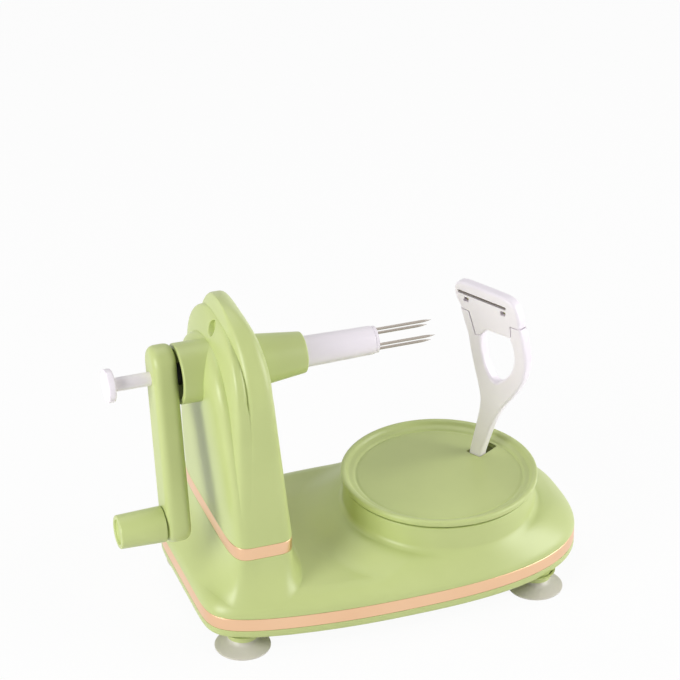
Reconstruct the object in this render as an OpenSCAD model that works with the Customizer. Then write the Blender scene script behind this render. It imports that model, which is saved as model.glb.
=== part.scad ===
// Hand-cranked apple peeler: a crank turns the fruit on a fork, and a gear train
// carries a sprung peeler arm slowly round it on a turntable.

/* [Base] */
// Length of the base from end to end
base_len = 212.6; // [205:0.2:225]
// Depth of the base at its widest
base_depth = 128; // [124:1:136]
// Left end of the base, measured from the origin
base_left = -87; // [-90:0.5:-84]
// Distance of the working axes in front of the base's middle line
axis_front = 5.2; // [2:0.1:7]
// Underside of the base above the table
base_bottom = 10.5; // [9:0.5:13]
// Height of the green lip under the trim band
lip_h = 4.5; // [3:0.5:6]
// Height of the base trim band
base_band_h = 7; // [5:0.5:8]
// Thickness of both trim bands
band_t = 1.2; // [0.8:0.1:1.6]
// Height of the rounded edge above the band
edge_h = 10; // [8:0.5:11]
// Width of the rounded edge
edge_w = 12; // [9:0.5:14]
// Wall of the base shell at its foot
base_wall = 6.5; // [6:0.1:7.5]
// Thickness of the base top
base_top_t = 3; // [2:0.1:4]
// Floor of the bottom plate
plate_t = 2.5; // [2:0.1:3]

/* [Feet] */
// Radius of a suction cup
cup_r = 14.4; // [12:0.1:16]
// Distance of the left cups from the left end
cup_left_inset = 18.5; // [17:0.1:24]
// Distance of the right cups from the right end
cup_right_inset = 33; // [29:0.1:37]
// Distance of the front cups from the front edge
cup_front = 19.5; // [18:0.1:23]
// Distance of the rear cups from the rear edge
cup_rear = 24; // [18:0.1:28]
// Radius of a foot stub under the base
foot_r = 8; // [7:0.1:10]
// Height of a foot stub
foot_h = 4; // [3:0.1:5]

/* [Column] */
// Distance of the column's middle from the left end
col_inset = 32.6; // [31.5:0.1:34]
// Width of the column at its foot
col_w = 31.4; // [30:0.1:33]
// Depth of the column at its foot
col_depth = 83; // [78:1:88]
// Underside of the column shells
col_z = 58.5; // [57:0.1:61]
// Height of the column trim band
col_band_h = 7; // [5:0.5:8]
// Top of the column
col_top = 178.5; // [177:0.5:190]
// Top of the left cover
cover_top = 173; // [171:0.5:175]
// Top of the swelling round the hub
panel_top = 161; // [159:0.5:163]
// Distance from the drive shaft to the joint between cover and shell
split_offset = 4.5; // [4:0.1:5.5]
// Wall of the column at its foot
col_wall = 3; // [2.5:0.1:3.5]
// Height of the neck's plug inside the column
plug_h = 7.5; // [6:0.5:10]

/* [Spindle] */
// Height of the spindle's axis
spindle_z = 141.5; // [140:0.5:144]
// Outer radius of the spindle shaft
spindle_r = 5.5; // [5.2:0.1:5.8]
// Radius of the push rod
rod_r = 3.5; // [3:0.1:3.7]
// Radius of the push button
button_r = 8.5; // [7:0.1:10]
// Thickness of the push button
button_t = 3.7; // [3:0.1:5]
// Travel of the push rod
push_travel = 18; // [14:0.5:19]
// Radius of the round hub on the left cover
hub_r = 15.5; // [14:0.1:17]
// Distance from the drive shaft to the hub's outer face
hub_reach = 28.4; // [26:0.1:32]
// Radius of the conical boss at its root
boss_root_r = 13.5; // [13:0.1:15]
// Radius of the conical boss at its end
boss_end_r = 10.5; // [10.3:0.1:12]
// Distance from the drive shaft to the conical boss's end
boss_reach = 38; // [34:0.5:42]
// Radius of the fork holder at the boss
holder_r = 8; // [7.8:0.1:8.4]
// Radius of the fork holder at its end
holder_end_r = 7.3; // [7.2:0.1:7.8]
// Visible length of the fork holder
holder_len = 37; // [30:0.5:44]
// Radius of a fork needle
needle_r = 0.7; // [0.6:0.05:0.9]
// Circle on which the needles stand
needle_pcd = 11.5; // [11.2:0.1:12]
// Length of the needles beyond the holder
needle_len = 32; // [26:0.5:38]

/* [Crank] */
// Distance from the spindle to the knob's axis
crank_len = 77; // [70:1:84]
// Width of the crank arm
crank_w = 20; // [18:0.5:22]
// Thickness of the crank arm
crank_t = 12.5; // [11:0.5:13]
// Length of the crank arm above the spindle, to its end's centre
crank_over = 6.5; // [0:0.5:9]
// Rounding of the crank arm's edges
crank_round = 4; // [2:0.5:5]
// Angle at which the crank hangs in front of the upright
crank_lean = 12; // [0:1:20]
// Length of the knob
knob_len = 23.6; // [20:0.1:30]
// Radius of the knob beside the arm
knob_r = 9.3; // [8.5:0.1:11]
// Radius of the knob at its free end
knob_end_r = 8.6; // [8:0.1:10]
// Radius of the recess in the knob's free end
knob_recess_r = 6.3; // [5.5:0.1:7]
// Depth of that recess
knob_recess_depth = 13; // [10:0.5:16]
// Radius of the knob's axle
knob_axle_r = 3; // [2:0.1:3.5]

/* [Gears] */
// Distance of the upright drive shaft from the left end
shaft_inset = 27.05; // [26.5:0.05:28]
// Radius of the drive shaft
shaft_r = 4; // [3:0.1:4.5]
// Teeth of the spindle pinion and of the crown gear
crown_teeth = 16; // [14:1:18]
// Pitch radius of the crown gear
crown_pitch_r = 7.2; // [7:0.1:7.5]
// Teeth of the pinion at the foot of the shaft
shaft_teeth = 14; // [12:1:16]
// Teeth of the idler's wheel
wheel_teeth = 42; // [40:1:48]
// Teeth of the idler's pinion
idler_teeth = 12; // [12:1:15]
// Teeth of the turntable gear
table_teeth = 60; // [54:1:66]
// Distance from the idler's axis to the turntable's
idler_gap = 54; // [52:0.5:54.5]
// Face width of the spur gears
gear_face = 5; // [4:0.1:5.2]
// Play of each tooth flank
gear_play = 0.12; // [0.08:0.01:0.2]
// Radius of the idler's axle
idler_axle_r = 2.5; // [2:0.1:3]

/* [Turntable] */
// Distance of the turntable's axis from the drive shaft's
table_inset = 112.75; // [111:0.05:114]
// Radius of the turntable's rim
table_r = 51.5; // [50:0.1:53]
// Top of the turntable's rim
table_top = 57.2; // [56:0.1:60]
// Depth of the dish below its rim
dish_depth = 3.2; // [2:0.1:3.5]
// Thickness of the dish's floor
dish_t = 2.2; // [1.8:0.1:2.4]
// Radius of the dish's flat floor
dish_r = 44.5; // [44:0.1:45]
// Wall of the pedestal under the turntable
pedestal_wall = 3; // [2.5:0.1:3.5]
// Width of the pedestal's flare
flare_w = 9; // [6:0.5:10]
// Radius of the bolt that the turntable turns on
table_bolt_r = 4; // [3:0.1:4.2]

/* [Peeler arm] */
// Direction in which the arm stands on the turntable
arm_azimuth = 30; // [20:1:40]
// Distance of the arm's inner face from the turntable's axis
arm_in_r = 27.5; // [26:0.1:29]
// Thickness of the arm
arm_t = 7.5; // [6:0.1:8]
// Height of the arm's pivot
pivot_z = 46; // [45:0.5:46.5]
// Radius of the pivot pin
pivot_r = 1.5; // [1.2:0.1:1.8]
// Height of the blade's slit
slit_z = 147.5; // [146:0.5:149]
// Length of the blade's slit
slit_len = 31; // [26:0.5:32]
// Height of the slit
slit_h = 2.2; // [1.6:0.1:3]

/* [Fits] */
// Clearance of a shaft that turns in its bore
run_fit = 0.05; // [0.02:0.01:0.1]
// Clearance between pieces that are fixed together
seat_fit = 0.05; // [0.02:0.01:0.1]
// Gap between pieces that pass each other
pass_gap = 0.4; // [0.3:0.05:0.6]

/* [Hidden] */

$fn = 64;
eps = 0.01;

green = "#c3cf8a";
white_plastic = "#eeebf0";
rose_gold = "#e9bd94";
steel = "#b9bbbf";
soft_clear = "#d9d8c8";
gear_white = "#e8e6de";

// Heights of the base, from the table up
band_z = base_bottom + lip_h;
edge_z = band_z + base_band_h;
base_top = edge_z + edge_h;
plate_top = base_bottom + plate_t;
cavity_top = base_top - base_top_t;

// Places along the base
base_right = base_left + base_len;
base_half = base_depth / 2;
mid_share = 0.449;
base_mid = base_left + base_len * mid_share;
axis_y = -axis_front;
cup_front_y = cup_front - base_half;
cup_rear_y = base_half - cup_rear;
left_power = 9;
left_taper = 0.19;
right_power = 2.8;
outline_steps = 72;
edge_steps = 5;
crown_inset = 30;
crown_rise = 1.2;
// Flat end of a foot's loft, inside the base's own solid
root_z = band_z + 2;
root_share = 0.5;

shaft_x = base_left + shaft_inset;
col_x = base_left + col_inset;
col_half = col_depth / 2;
table_x = shaft_x + table_inset;
idler_x = table_x - idler_gap;

// Column neck and flare
neck_z = col_z - col_band_h;
flare_top = neck_z - 1.5;
flare_foot = edge_z + 1;
flare_left = 15.5;
flare_right = 9;
flare_front = 11.5;
flare_sink = 0.6;
neck_web_z = flare_top - 4;
col_power = 4;
foot_power = 2.6;
flare_steps = 8;

// Column form
split_x = shaft_x - split_offset;
col_left = col_x - col_w / 2;
col_right = col_x + col_w / 2;
arch_z = 133;
round_z = 138;
fold_power = 2.2;
// Each form: its top, its crest, how far its left and right sides lean in, and how much deeper it gets
shell_form = [col_top, shaft_x - 5.2, 2.4, 9.2, 1];
cover_form = [cover_top, shaft_x - 8, -1.2, 22.5, 1.5];
panel_form = [panel_top, shaft_x - 11.5, -4.6, 22.5, -7];
col_steps = 40;
col_rings = 18;
// Share of a ring's step by which the last ring stops short of the crest
col_tip = 0.25;
cavity_half = 22;
cavity_left = shaft_x - 8.2;
pinion_face = 3.2;
cavity_right = shaft_x + crown_pitch_r + pinion_face / 2 + pass_gap;
cavity_dome_z = spindle_z - 11;

// Places along the spindle
hub_x = shaft_x - hub_reach;
boss_x = shaft_x + boss_reach;
crank_right = hub_x - pass_gap * 2;
crank_left = crank_right - crank_t;
knob_right = crank_left - pass_gap;
knob_left = knob_right - knob_len;
button_right = crank_left - push_travel - pass_gap * 3;
button_left = button_right - button_t;
holder_x = boss_x + holder_len;
holder_socket = 5;
holder_wall = 6;
holder_edge = 0.8;
plate_gap = 0.3;
ejector_t = 1.6;
ejector_r = holder_end_r - 0.4;
needle_root = 5;
// Each needle's root tapers, from just in front of the ejector plate to its end in the holder
needle_taper = 0.05;
needle_shoulder = plate_gap + ejector_t + pass_gap;
needle_point = 4;
needle_tip_r = 0.1;
needle_gap = 0.3;
needle_count = 4;
hub_bush_r = 9;
hub_bush_len = 17;
hub_recess = 5;
hub_wall = 2.8;
// The conical boss has its root radius at the column's right face, and runs on inside it
col_face_x = col_right - shell_form[3];
boss_slope = (boss_root_r - boss_end_r) / (boss_x - col_face_x);
boss_sunk_r = boss_root_r + boss_slope * (col_face_x - cavity_right);
boss_bush_r = 8.2;
boss_bush_len = 14;
boss_bush_x = boss_x - holder_socket - boss_bush_len - 1.5;
crank_socket_depth = crank_t - 2.5;
crank_facets = 32;

// Gears
tooth_add = 0.8;
tooth_ded = 1.1;
pressure = 20;
wheel_gap = idler_x - shaft_x;
shaft_module = 2 * wheel_gap / (shaft_teeth + wheel_teeth);
table_module = 2 * idler_gap / (idler_teeth + table_teeth);
wheel_z = plate_top + 1.5;
table_gear_z = wheel_z + gear_face + 1.5;
crown_module = 2 * crown_pitch_r / crown_teeth;
crown_face = 2.2;
crown_pitch_z = spindle_z - crown_pitch_r;
crown_tip_z = crown_pitch_z + 0.75 * crown_module;
crown_root_z = crown_pitch_z - 1.35 * crown_module;
crown_web = 4;
crown_rim = 0.3;
crown_sink = 0.5;
crown_room = 0.9;
crown_tooth_root = 1.1;
crown_tooth_tip = 0.5;

// Turntable
dish_floor = table_top - dish_depth;
dish_under = dish_floor - dish_t;
rim_slope = 4.5;
rim_round = 1.6;
rim_lip = 0.6;
rim_steps = 4;
hub_foot = 2;
pedestal_top = dish_under + 1;
pedestal_r = table_r - 1.2;
pedestal_lip = 2;
pedestal_round = 0.6;
flare_near = 6;
flare_drop = 7;
flare_turn = 3;
well_r = pedestal_r - pedestal_wall;
rim_under = pedestal_top + pass_gap;
skirt_r = well_r - 1;
skirt_t = 2;
skirt_z = dish_under - 9;
table_boss_r = 8;
table_hub_z = table_gear_z - pass_gap;
bolt_head_r = 6;
bolt_head_t = 2.2;
bolt_sink = 0.2;
bolt_top = dish_under - 6;

// Peeler arm, in its own frame: x outwards, y along the blade, z up
pivot_x = arm_in_r + arm_t / 2;
stem_y = 1.8;
stem_w = 7.5;
stem_y0 = stem_y - stem_w / 2;
stem_y1 = stem_y + stem_w / 2;
hub_arm_r = 4.5;
ear_t = 3;
ear_r = 5;
spring_turns = 4;
spring_wire = 0.35;
spring_rings = 8;
spring_sides = 6;
spring_room = 6.5;
spring_coil_r = (pivot_r + seat_fit) / cos(180 / spring_rings) + spring_wire;
spring_pitch = (spring_room - 2 * spring_wire - 2 * pass_gap) / spring_turns;
slot_out = 8;
slot_side = 1.4;
slit_y = 3.4;
head_proud = 0.5;
pin_y = 12.2;
pin_drop = 3.3;
blade_t = 0.5;
blade_pin_r = 0.9;
blade_pin_proud = 0.4;
blade_pin_len = 4;
blade_w = 5;
blade_tilt = 8;
arm_steps = 5;

// Outline points of the arm: across the blade, and height
arm_left = [
    [stem_y0, pivot_z], [stem_y0, 54], [2.4, 74], [4.4, 85], [3.9, 95], [-1.8, 114], [-6.1, 128],
    [-11.2, 140]];
arm_head = [
    [-13.8, slit_z + 1.5], [-12.4, slit_z + 6.1], [-8, slit_z + 7.1], [16, slit_z + 7.1],
    [21.8, slit_z + 5.1], [23.6, slit_z + 0.5]];
arm_right = [
    [25.6, 139], [30, 126], [30.6, 116], [27, 103], [18.6, 91], [12.7, 80], [9.5, 70], [stem_y1, 54],
    [stem_y1, pivot_z]];
arm_hole = [
    [6.9, 130.4], [13, 130.8], [18.4, 130.2], [20.8, 124], [20.6, 115], [17.4, 106.5], [13, 100.6],
    [10.4, 108], [8.4, 119]];
// The head's joint with the arm's two limbs, below the blade, then far round the head
head_far = 60;
head_high = 200;
head_joint = [
    [-head_far, 141.6], [-5.6, 138.6], [0.2, 125.6], [6.6, 130.2], [18, 128], [22.9, 131.4],
    [22.7, 137.4], [head_far, 137.4], [head_far, head_high], [-head_far, head_high]];

// Shared shapes

function sign_pow(v, p) = sign(v) * pow(abs(v), p);

// One point of the base outline in direction t, drawn in by inset: a rounder superellipse on the
// right, and on the left a squarer one that tapers towards its end
function base_point(t, inset) =
    let (right = cos(t) >= 0)
    let (a = (right ? base_right - base_mid : base_mid - base_left) - inset)
    let (b = base_half - inset)
    let (p = right ? right_power : left_power)
    let (r = pow(pow(abs(cos(t)) / a, p) + pow(abs(sin(t)) / b, p), -1 / p))
    let (narrow = right ? 0 : left_taper * pow(r * cos(t) / a, 2))
    [base_mid + r * cos(t), r * sin(t) * (1 - narrow)];

function base_outline(inset) =
    [for (i = [0 : outline_steps - 1]) base_point(i * 360 / outline_steps, inset)];

function superellipse(x, a, b, power, steps) =
    [for (i = [0 : steps - 1])
        let (t = i * 360 / steps)
        [x + a * sign_pow(cos(t), 2 / power), axis_y + b * sign_pow(sin(t), 2 / power)]];

function col_outline(inset) =
    superellipse(col_x, col_w / 2 - inset, col_half - inset, col_power, outline_steps);

function table_circle(r) =
    [for (i = [0 : outline_steps - 1])
        let (t = i * 360 / outline_steps)
        [table_x + r * cos(t), axis_y + r * sin(t)]];

function at_height(outline, z) = [for (p = outline) [p[0], p[1], z]];

// A closed skin through rings of points, each ring listed anticlockwise, from the lowest up
module loft(rings) {
    n = len(rings[0]);
    last = (len(rings) - 1) * n;
    sides = [for (k = [0 : len(rings) - 2], i = [0 : n - 1])
        let (a = k * n + i, b = k * n + (i + 1) % n)
        each [[a, a + n, b], [b, a + n, b + n]]];
    caps = [[for (i = [0 : n - 1]) i], [for (i = [n - 1 : -1 : 0]) last + i]];
    polyhedron(points = [for (r = rings) each r], faces = concat(sides, caps));
}

// Turns a solid made round Z so that its axis lies along X at the spindle's height
module along_spindle() {
    translate([0, axis_y, spindle_z]) rotate([0, 90, 0]) children();
}

module spindle_tube(x0, x1, r, bore) {
    along_spindle() difference() {
        translate([0, 0, x0]) cylinder(h = x1 - x0, r = r);
        translate([0, 0, x0 - eps]) cylinder(h = x1 - x0 + 2 * eps, r = bore);
    }
}

// The three upright axes of the gear train
module at_shaft() {
    translate([shaft_x, axis_y, 0]) children();
}

module at_idler() {
    translate([idler_x, axis_y, 0]) children();
}

module at_table() {
    translate([table_x, axis_y, 0]) children();
}

module disc(z0, z1, r) {
    translate([0, 0, z0]) cylinder(h = z1 - z0, r = r);
}

// Involute spur gear: half a tooth's angle at radius r, then the outline
function involute(a) = tan(a) - a * PI / 180;

function half_tooth(n, m, r) =
    let (rp = n * m / 2)
    let (base_r = rp * cos(pressure))
    let (a = r > base_r ? acos(base_r / r) : 0)
    90 / n + (involute(pressure) - involute(a) - gear_play / rp) * 180 / PI;

function gear_radii(n, m) =
    let (rp = n * m / 2)
    [rp - tooth_ded * m, rp - tooth_ded * m / 2, rp, rp + tooth_add * m / 2, rp + tooth_add * m];

function gear_outline(n, m, turn) =
    let (radii = gear_radii(n, m))
    [for (k = [0 : n - 1], side = [-1, 1], j = [0 : len(radii) - 1])
        let (r = radii[side < 0 ? j : len(radii) - 1 - j])
        let (t = turn + k * 360 / n + side * half_tooth(n, m, r))
        [r * cos(t), r * sin(t)]];

module spur_gear(n, m, h, turn) {
    linear_extrude(height = h) polygon(gear_outline(n, m, turn));
}

// Base

module base_form() {
    band_rings = [at_height(base_outline(band_t), band_z), at_height(base_outline(band_t), edge_z)];
    edge_rings = [for (i = [0 : edge_steps])
        let (t = 90 * i / edge_steps)
        at_height(base_outline(edge_w * (1 - cos(t))), edge_z + edge_h * sin(t))];
    crown_ring = [at_height(base_outline(crown_inset), base_top + crown_rise)];
    loft(concat(band_rings, edge_rings, crown_ring));
}

// Concave sweep from the base up to the column's neck: it runs out over the rounded edge on the
// left and in front, and stops on the base's top on the right
module column_flare() {
    rings = [for (i = [flare_steps : -1 : 0])
        let (t = 90 * i / flare_steps, out = 1 - cos(t))
        let (x = col_x + (flare_right - flare_left) / 2 * out)
        let (a = col_w / 2 + (flare_left + flare_right) / 2 * out)
        let (power = col_power + (foot_power - col_power) * out)
        let (ring = superellipse(x, a, col_half + flare_front * out, power, outline_steps))
        [for (p = ring)
            let (side = max(0, (p[0] - x) / a))
            let (foot = flare_foot + (base_top - flare_sink - flare_foot) * side)
            [p[0], p[1], flare_top - (flare_top - foot) * sin(t)]]];
    root = superellipse(col_x, col_w * root_share, col_depth * root_share, col_power, outline_steps);
    loft(concat([at_height(root, root_z)], rings, [at_height(col_outline(0), neck_z)]));
}

// Round pedestal with a concave foot: wide along the base, narrower and deeper where the base's
// rounded edge lies close to it in front and behind
module pedestal() {
    wall_top = pedestal_top - pedestal_lip;
    rings = [for (i = [flare_steps : -1 : 0])
        let (t = 90 * i / flare_steps)
        [for (j = [0 : outline_steps - 1])
            let (d = j * 360 / outline_steps, near = pow(abs(sin(d)), flare_turn))
            let (r = pedestal_r + (flare_w + (flare_near - flare_w) * near) * (1 - cos(t)))
            let (foot = base_top - flare_sink - flare_drop * near)
            [table_x + r * cos(d), axis_y + r * sin(d), wall_top - (wall_top - foot) * sin(t)]]];
    loft(concat(
        [at_height(table_circle(pedestal_r * root_share), root_z)],
        rings,
        [at_height(table_circle(pedestal_r), pedestal_top - pedestal_round)],
        [at_height(table_circle(pedestal_r - pedestal_round), pedestal_top)]));
}

module screw_posts(r, z0, z1) {
    for (p = base_screw_places) translate([p[0], p[1], 0]) disc(z0, z1, r);
}

screw_r = 1.6;
screw_head_r = 3;
screw_head_t = 2;
screw_post_r = 4;
screw_reach = 9;
screw_sink = 0.2;
screw_left_inset = 12;
screw_left_y = 20;
screw_right_inset = 14;
screw_right_y = 24;
base_screw_places = [for (side = [-1, 1]) each [
    [base_left + screw_left_inset, side * screw_left_y],
    [base_right - screw_right_inset, side * screw_right_y]]];

module base_shell() color(green) difference() {
    union() {
        difference() {
            union() {
                base_form();
                column_flare();
                pedestal();
                translate([0, 0, neck_z - eps]) linear_extrude(height = col_band_h + eps)
                    polygon(col_outline(band_t));
                translate([0, 0, neck_z]) linear_extrude(height = col_band_h + plug_h)
                    polygon(col_outline(col_wall + seat_fit));
            }
            translate([0, 0, band_z - eps]) linear_extrude(height = cavity_top - band_z)
                polygon(base_outline(base_wall));
            translate([0, 0, band_z - eps]) linear_extrude(height = neck_web_z - band_z)
                polygon(col_outline(col_wall * 2));
            at_table() disc(band_z - 1, table_top, well_r);
        }
        screw_posts(screw_post_r, band_z, cavity_top + 1);
    }
    screw_posts(screw_r + seat_fit, band_z - eps, band_z + screw_reach + 1);
    at_shaft() disc(neck_web_z - 1, col_z + plug_h + 1, shaft_r + run_fit);
}

module cup_places() {
    for (x = [base_left + cup_left_inset, base_right - cup_right_inset], y = [cup_front_y, cup_rear_y])
        translate([x, y, 0]) children();
}

foot_round = 1.5;
cup_stem_r = 3.4;
cup_neck_z = base_bottom - foot_h;
cup_stem_top = base_bottom + 1;

module base_bottom_plate() color(green) difference() {
    union() {
        loft([
            at_height(base_outline(foot_round), base_bottom),
            at_height(base_outline(0), base_bottom + foot_round),
            at_height(base_outline(0), band_z - seat_fit)]);
        cup_places() disc(cup_neck_z, base_bottom + 1, foot_r);
    }
    translate([0, 0, plate_top]) linear_extrude(height = lip_h) polygon(base_outline(base_wall));
    cup_places() disc(cup_neck_z - eps, cup_stem_top + seat_fit, cup_stem_r + seat_fit);
    screw_posts(screw_r + seat_fit, base_bottom - eps, band_z + eps);
    screw_posts(screw_head_r + seat_fit, base_bottom - eps, base_bottom + screw_head_t);
    at_shaft() disc(base_bottom + 1, band_z, shaft_r + run_fit);
    at_idler() disc(base_bottom + 1, band_z, idler_axle_r + seat_fit);
    at_table() {
        disc(base_bottom - eps, band_z, table_bolt_r + run_fit);
        disc(base_bottom - eps, base_bottom + bolt_head_t, bolt_head_r + pass_gap);
    }
}

module base_screws() color(steel) {
    screw_posts(screw_r, base_bottom + screw_head_t / 2, band_z + screw_reach);
    screw_posts(screw_head_r, base_bottom + screw_sink, base_bottom + screw_head_t - seat_fit);
}

module band_ring(outer, inner, z, h) {
    translate([0, 0, z + seat_fit]) linear_extrude(height = h - 2 * seat_fit) difference() {
        polygon(outer);
        polygon(inner);
    }
}

module base_trim_band() color(rose_gold)
    band_ring(base_outline(0), base_outline(band_t - seat_fit), band_z, base_band_h);

module column_trim_band() color(rose_gold)
    band_ring(col_outline(0), col_outline(band_t - seat_fit), neck_z, col_band_h);

// Suction cup: a thin skirt that meets the table, a neck, and a stem pressed into its foot
cup_edge = 0.9;
cup_hollow = 2;
cup_seat_r = 11.5;
cup_neck_r = 5.5;
cup_roof_r = 7.5;
cup_roof_h = 1.4;
cup_slope_h = 1;
cup_throat_r = 7;
cup_throat_h = 2;

module suction_cup(x, y) color(soft_clear) translate([x, y, 0]) rotate_extrude()
    polygon([
        [0, cup_hollow], [cup_roof_r, cup_roof_h], [cup_seat_r, 0], [cup_r, 0], [cup_r, cup_edge],
        [cup_seat_r, cup_edge + cup_slope_h], [cup_throat_r, cup_neck_z - cup_throat_h],
        [cup_neck_r, cup_neck_z - seat_fit], [cup_stem_r, cup_neck_z - seat_fit],
        [cup_stem_r, cup_stem_top], [0, cup_stem_top]]);

module suction_cup_front_left() suction_cup(base_left + cup_left_inset, cup_front_y);
module suction_cup_front_right() suction_cup(base_right - cup_right_inset, cup_front_y);
module suction_cup_rear_left() suction_cup(base_left + cup_left_inset, cup_rear_y);
module suction_cup_rear_right() suction_cup(base_right - cup_right_inset, cup_rear_y);

// Column

function arch(z, start, top, power) =
    z <= start ? 1 : pow(max(0, 1 - pow((z - start) / (top - start), power)), 1 / power);

// Horizontal section of one of the column's three forms. Its sides lean from the foot to the
// spindle's height, then close on its crest, and its depth follows an arch.
function col_ring(z, form) =
    let (top = form[0], crest = form[1], left_in = form[2], right_in = form[3], deep = form[4])
    let (rise = min(1, (z - col_z) / (spindle_z - col_z)))
    let (fold = arch(z, round_z, top, fold_power))
    let (left = crest + (col_left + left_in * rise - crest) * fold)
    let (right = crest + (col_right - right_in * rise - crest) * fold)
    let (b = (col_half + deep * rise) * arch(z, arch_z, top, 2))
    at_height(superellipse((left + right) / 2, (right - left) / 2, b, col_power, col_steps), z);

module column_form(form) {
    loft([for (i = [0 : col_rings])
        let (u = i / (col_rings + col_tip))
        col_ring(col_z + (form[0] - col_z) * sin(90 * u), form)]);
}

// Room inside the column for the spindle's gears and the drive shaft
module column_cavity() {
    translate([0, 0, col_z - eps]) linear_extrude(height = plug_h + 1) polygon(col_outline(col_wall));
    translate([cavity_left, axis_y - cavity_half, col_z])
        cube([cavity_right - cavity_left, 2 * cavity_half, cavity_dome_z - col_z]);
    translate([0, 0, cavity_dome_z - spindle_z]) along_spindle() disc(cavity_left, cavity_right, cavity_half);
    at_shaft() disc(crown_root_z - crown_web - 1, spindle_z, crown_pitch_r + crown_face / 2 + crown_room);
}

module half_space(x0, x1) {
    translate([x0, -base_depth, 0]) cube([x1 - x0, 2 * base_depth, col_top + eps]);
}

col_screw_z = 163.5;
col_screw_r = 1.6;
col_screw_head_r = 2.8;
col_screw_inset = 4.5;
col_screw_left = col_left + col_screw_inset;
col_screw_len = 12;

module column_shell() color(green) difference() {
    union() {
        intersection() {
            column_form(shell_form);
            half_space(split_x, base_right);
        }
        along_spindle() translate([0, 0, cavity_right])
            cylinder(h = boss_x - cavity_right, r1 = boss_sunk_r, r2 = boss_end_r);
    }
    column_cavity();
    along_spindle() {
        disc(cavity_right - eps, boss_x + eps, spindle_r + pass_gap);
        disc(boss_bush_x, boss_x + eps, boss_bush_r + seat_fit);
        disc(boss_x - holder_socket - 1, boss_x + eps, holder_r + pass_gap);
    }
    translate([0, 0, col_screw_z - spindle_z]) along_spindle()
        disc(split_x - eps, col_screw_left + col_screw_len + 1, col_screw_r + seat_fit);
}

module column_cover() color(green) difference() {
    union() {
        intersection() {
            union() {
                column_form(cover_form);
                column_form(panel_form);
            }
            half_space(base_left - base_depth, split_x - seat_fit);
        }
        along_spindle() disc(hub_x, split_x - seat_fit, hub_r);
    }
    column_cavity();
    along_spindle() {
        disc(hub_x - eps, split_x, spindle_r + pass_gap);
        disc(hub_x - eps, hub_x + hub_bush_len, hub_bush_r + seat_fit);
        disc(hub_x - eps, hub_x + hub_recess, hub_r - hub_wall);
    }
    translate([0, 0, col_screw_z - spindle_z]) along_spindle() {
        disc(hub_x, split_x, col_screw_r + seat_fit);
        disc(hub_x, col_screw_left + 1, col_screw_head_r + seat_fit);
    }
}

module column_screw() color(steel) translate([0, 0, col_screw_z - spindle_z]) along_spindle() {
    disc(col_screw_left - 1, col_screw_left + 1 - seat_fit, col_screw_head_r);
    disc(col_screw_left, col_screw_left + col_screw_len, col_screw_r);
}

module hub_bush() color(gear_white)
    spindle_tube(hub_x + hub_recess, hub_x + hub_bush_len - seat_fit, hub_bush_r, spindle_r + run_fit);

module boss_bush() color(gear_white)
    spindle_tube(boss_bush_x + seat_fit, boss_bush_x + boss_bush_len, boss_bush_r, spindle_r + run_fit);

// Spindle, fork and crank

module spindle_shaft() color(gear_white)
    spindle_tube(crank_right - crank_socket_depth, holder_x - holder_wall, spindle_r, rod_r + run_fit);

module needle_places() {
    for (k = [0 : needle_count - 1])
        along_spindle() rotate([0, 0, k * 360 / needle_count]) translate([needle_pcd / 2, 0, 0]) children();
}

module fork_holder() color(white_plastic) difference() {
    along_spindle() rotate_extrude() polygon([
        [spindle_r + seat_fit, boss_x - holder_socket], [holder_r, boss_x - holder_socket],
        [holder_r, boss_x], [holder_end_r, holder_x - holder_edge],
        [holder_end_r - holder_edge, holder_x], [rod_r + run_fit, holder_x],
        [rod_r + run_fit, holder_x - holder_wall + seat_fit],
        [spindle_r + seat_fit, holder_x - holder_wall + seat_fit]]);
    needle_places() disc(holder_x - needle_root - seat_fit, holder_x + 1, needle_r + seat_fit / 2);
}

module fork_needles() color(steel) needle_places() {
    translate([0, 0, holder_x - needle_root])
        cylinder(h = needle_root + needle_shoulder, r1 = needle_r - needle_taper, r2 = needle_r);
    disc(holder_x + needle_shoulder, holder_x + needle_len - needle_point, needle_r);
    translate([0, 0, holder_x + needle_len - needle_point])
        cylinder(h = needle_point, r1 = needle_r, r2 = needle_tip_r);
}

module spindle_pinion() color(gear_white) along_spindle()
    translate([0, 0, shaft_x + crown_pitch_r - pinion_face / 2]) difference() {
        spur_gear(crown_teeth, crown_module, pinion_face, 0);
        translate([0, 0, -eps]) cylinder(h = pinion_face + 2 * eps, r = spindle_r + seat_fit / 2);
    }

// Crank arm in its own frame: the bar runs along -Z from the spindle, its outer face at x = 0
module crank_section() {
    hull() for (x = [crank_round, crank_t - crank_round], y = [-1, 1])
        translate([x, y * (crank_w / 2 - crank_round)]) circle(r = crank_round, $fn = crank_facets);
}

module half_section() {
    intersection() {
        rotate(90) translate([-crank_t / 2, 0]) crank_section();
        translate([0, -crank_t]) square([crank_w, 2 * crank_t]);
    }
}

module crank_end() {
    translate([crank_t / 2, 0, 0]) rotate([0, 90, 0]) rotate_extrude() half_section();
}

module in_crank_frame() {
    translate([crank_left, axis_y, spindle_z]) rotate([-crank_lean, 0, 0]) children();
}

module crank_arm() color(green) difference() {
    in_crank_frame() {
        translate([0, 0, -crank_len]) linear_extrude(height = crank_len + crank_over) crank_section();
        translate([0, 0, crank_over]) crank_end();
        translate([0, 0, -crank_len]) crank_end();
    }
    along_spindle() {
        disc(crank_left - eps, crank_right + eps, rod_r + run_fit);
        disc(crank_right - crank_socket_depth - seat_fit, crank_right + eps, spindle_r + seat_fit);
    }
    in_crank_frame() translate([-eps, 0, -crank_len]) rotate([0, 90, 0])
        cylinder(h = crank_t - 2, r = knob_axle_r + seat_fit);
}

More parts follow.
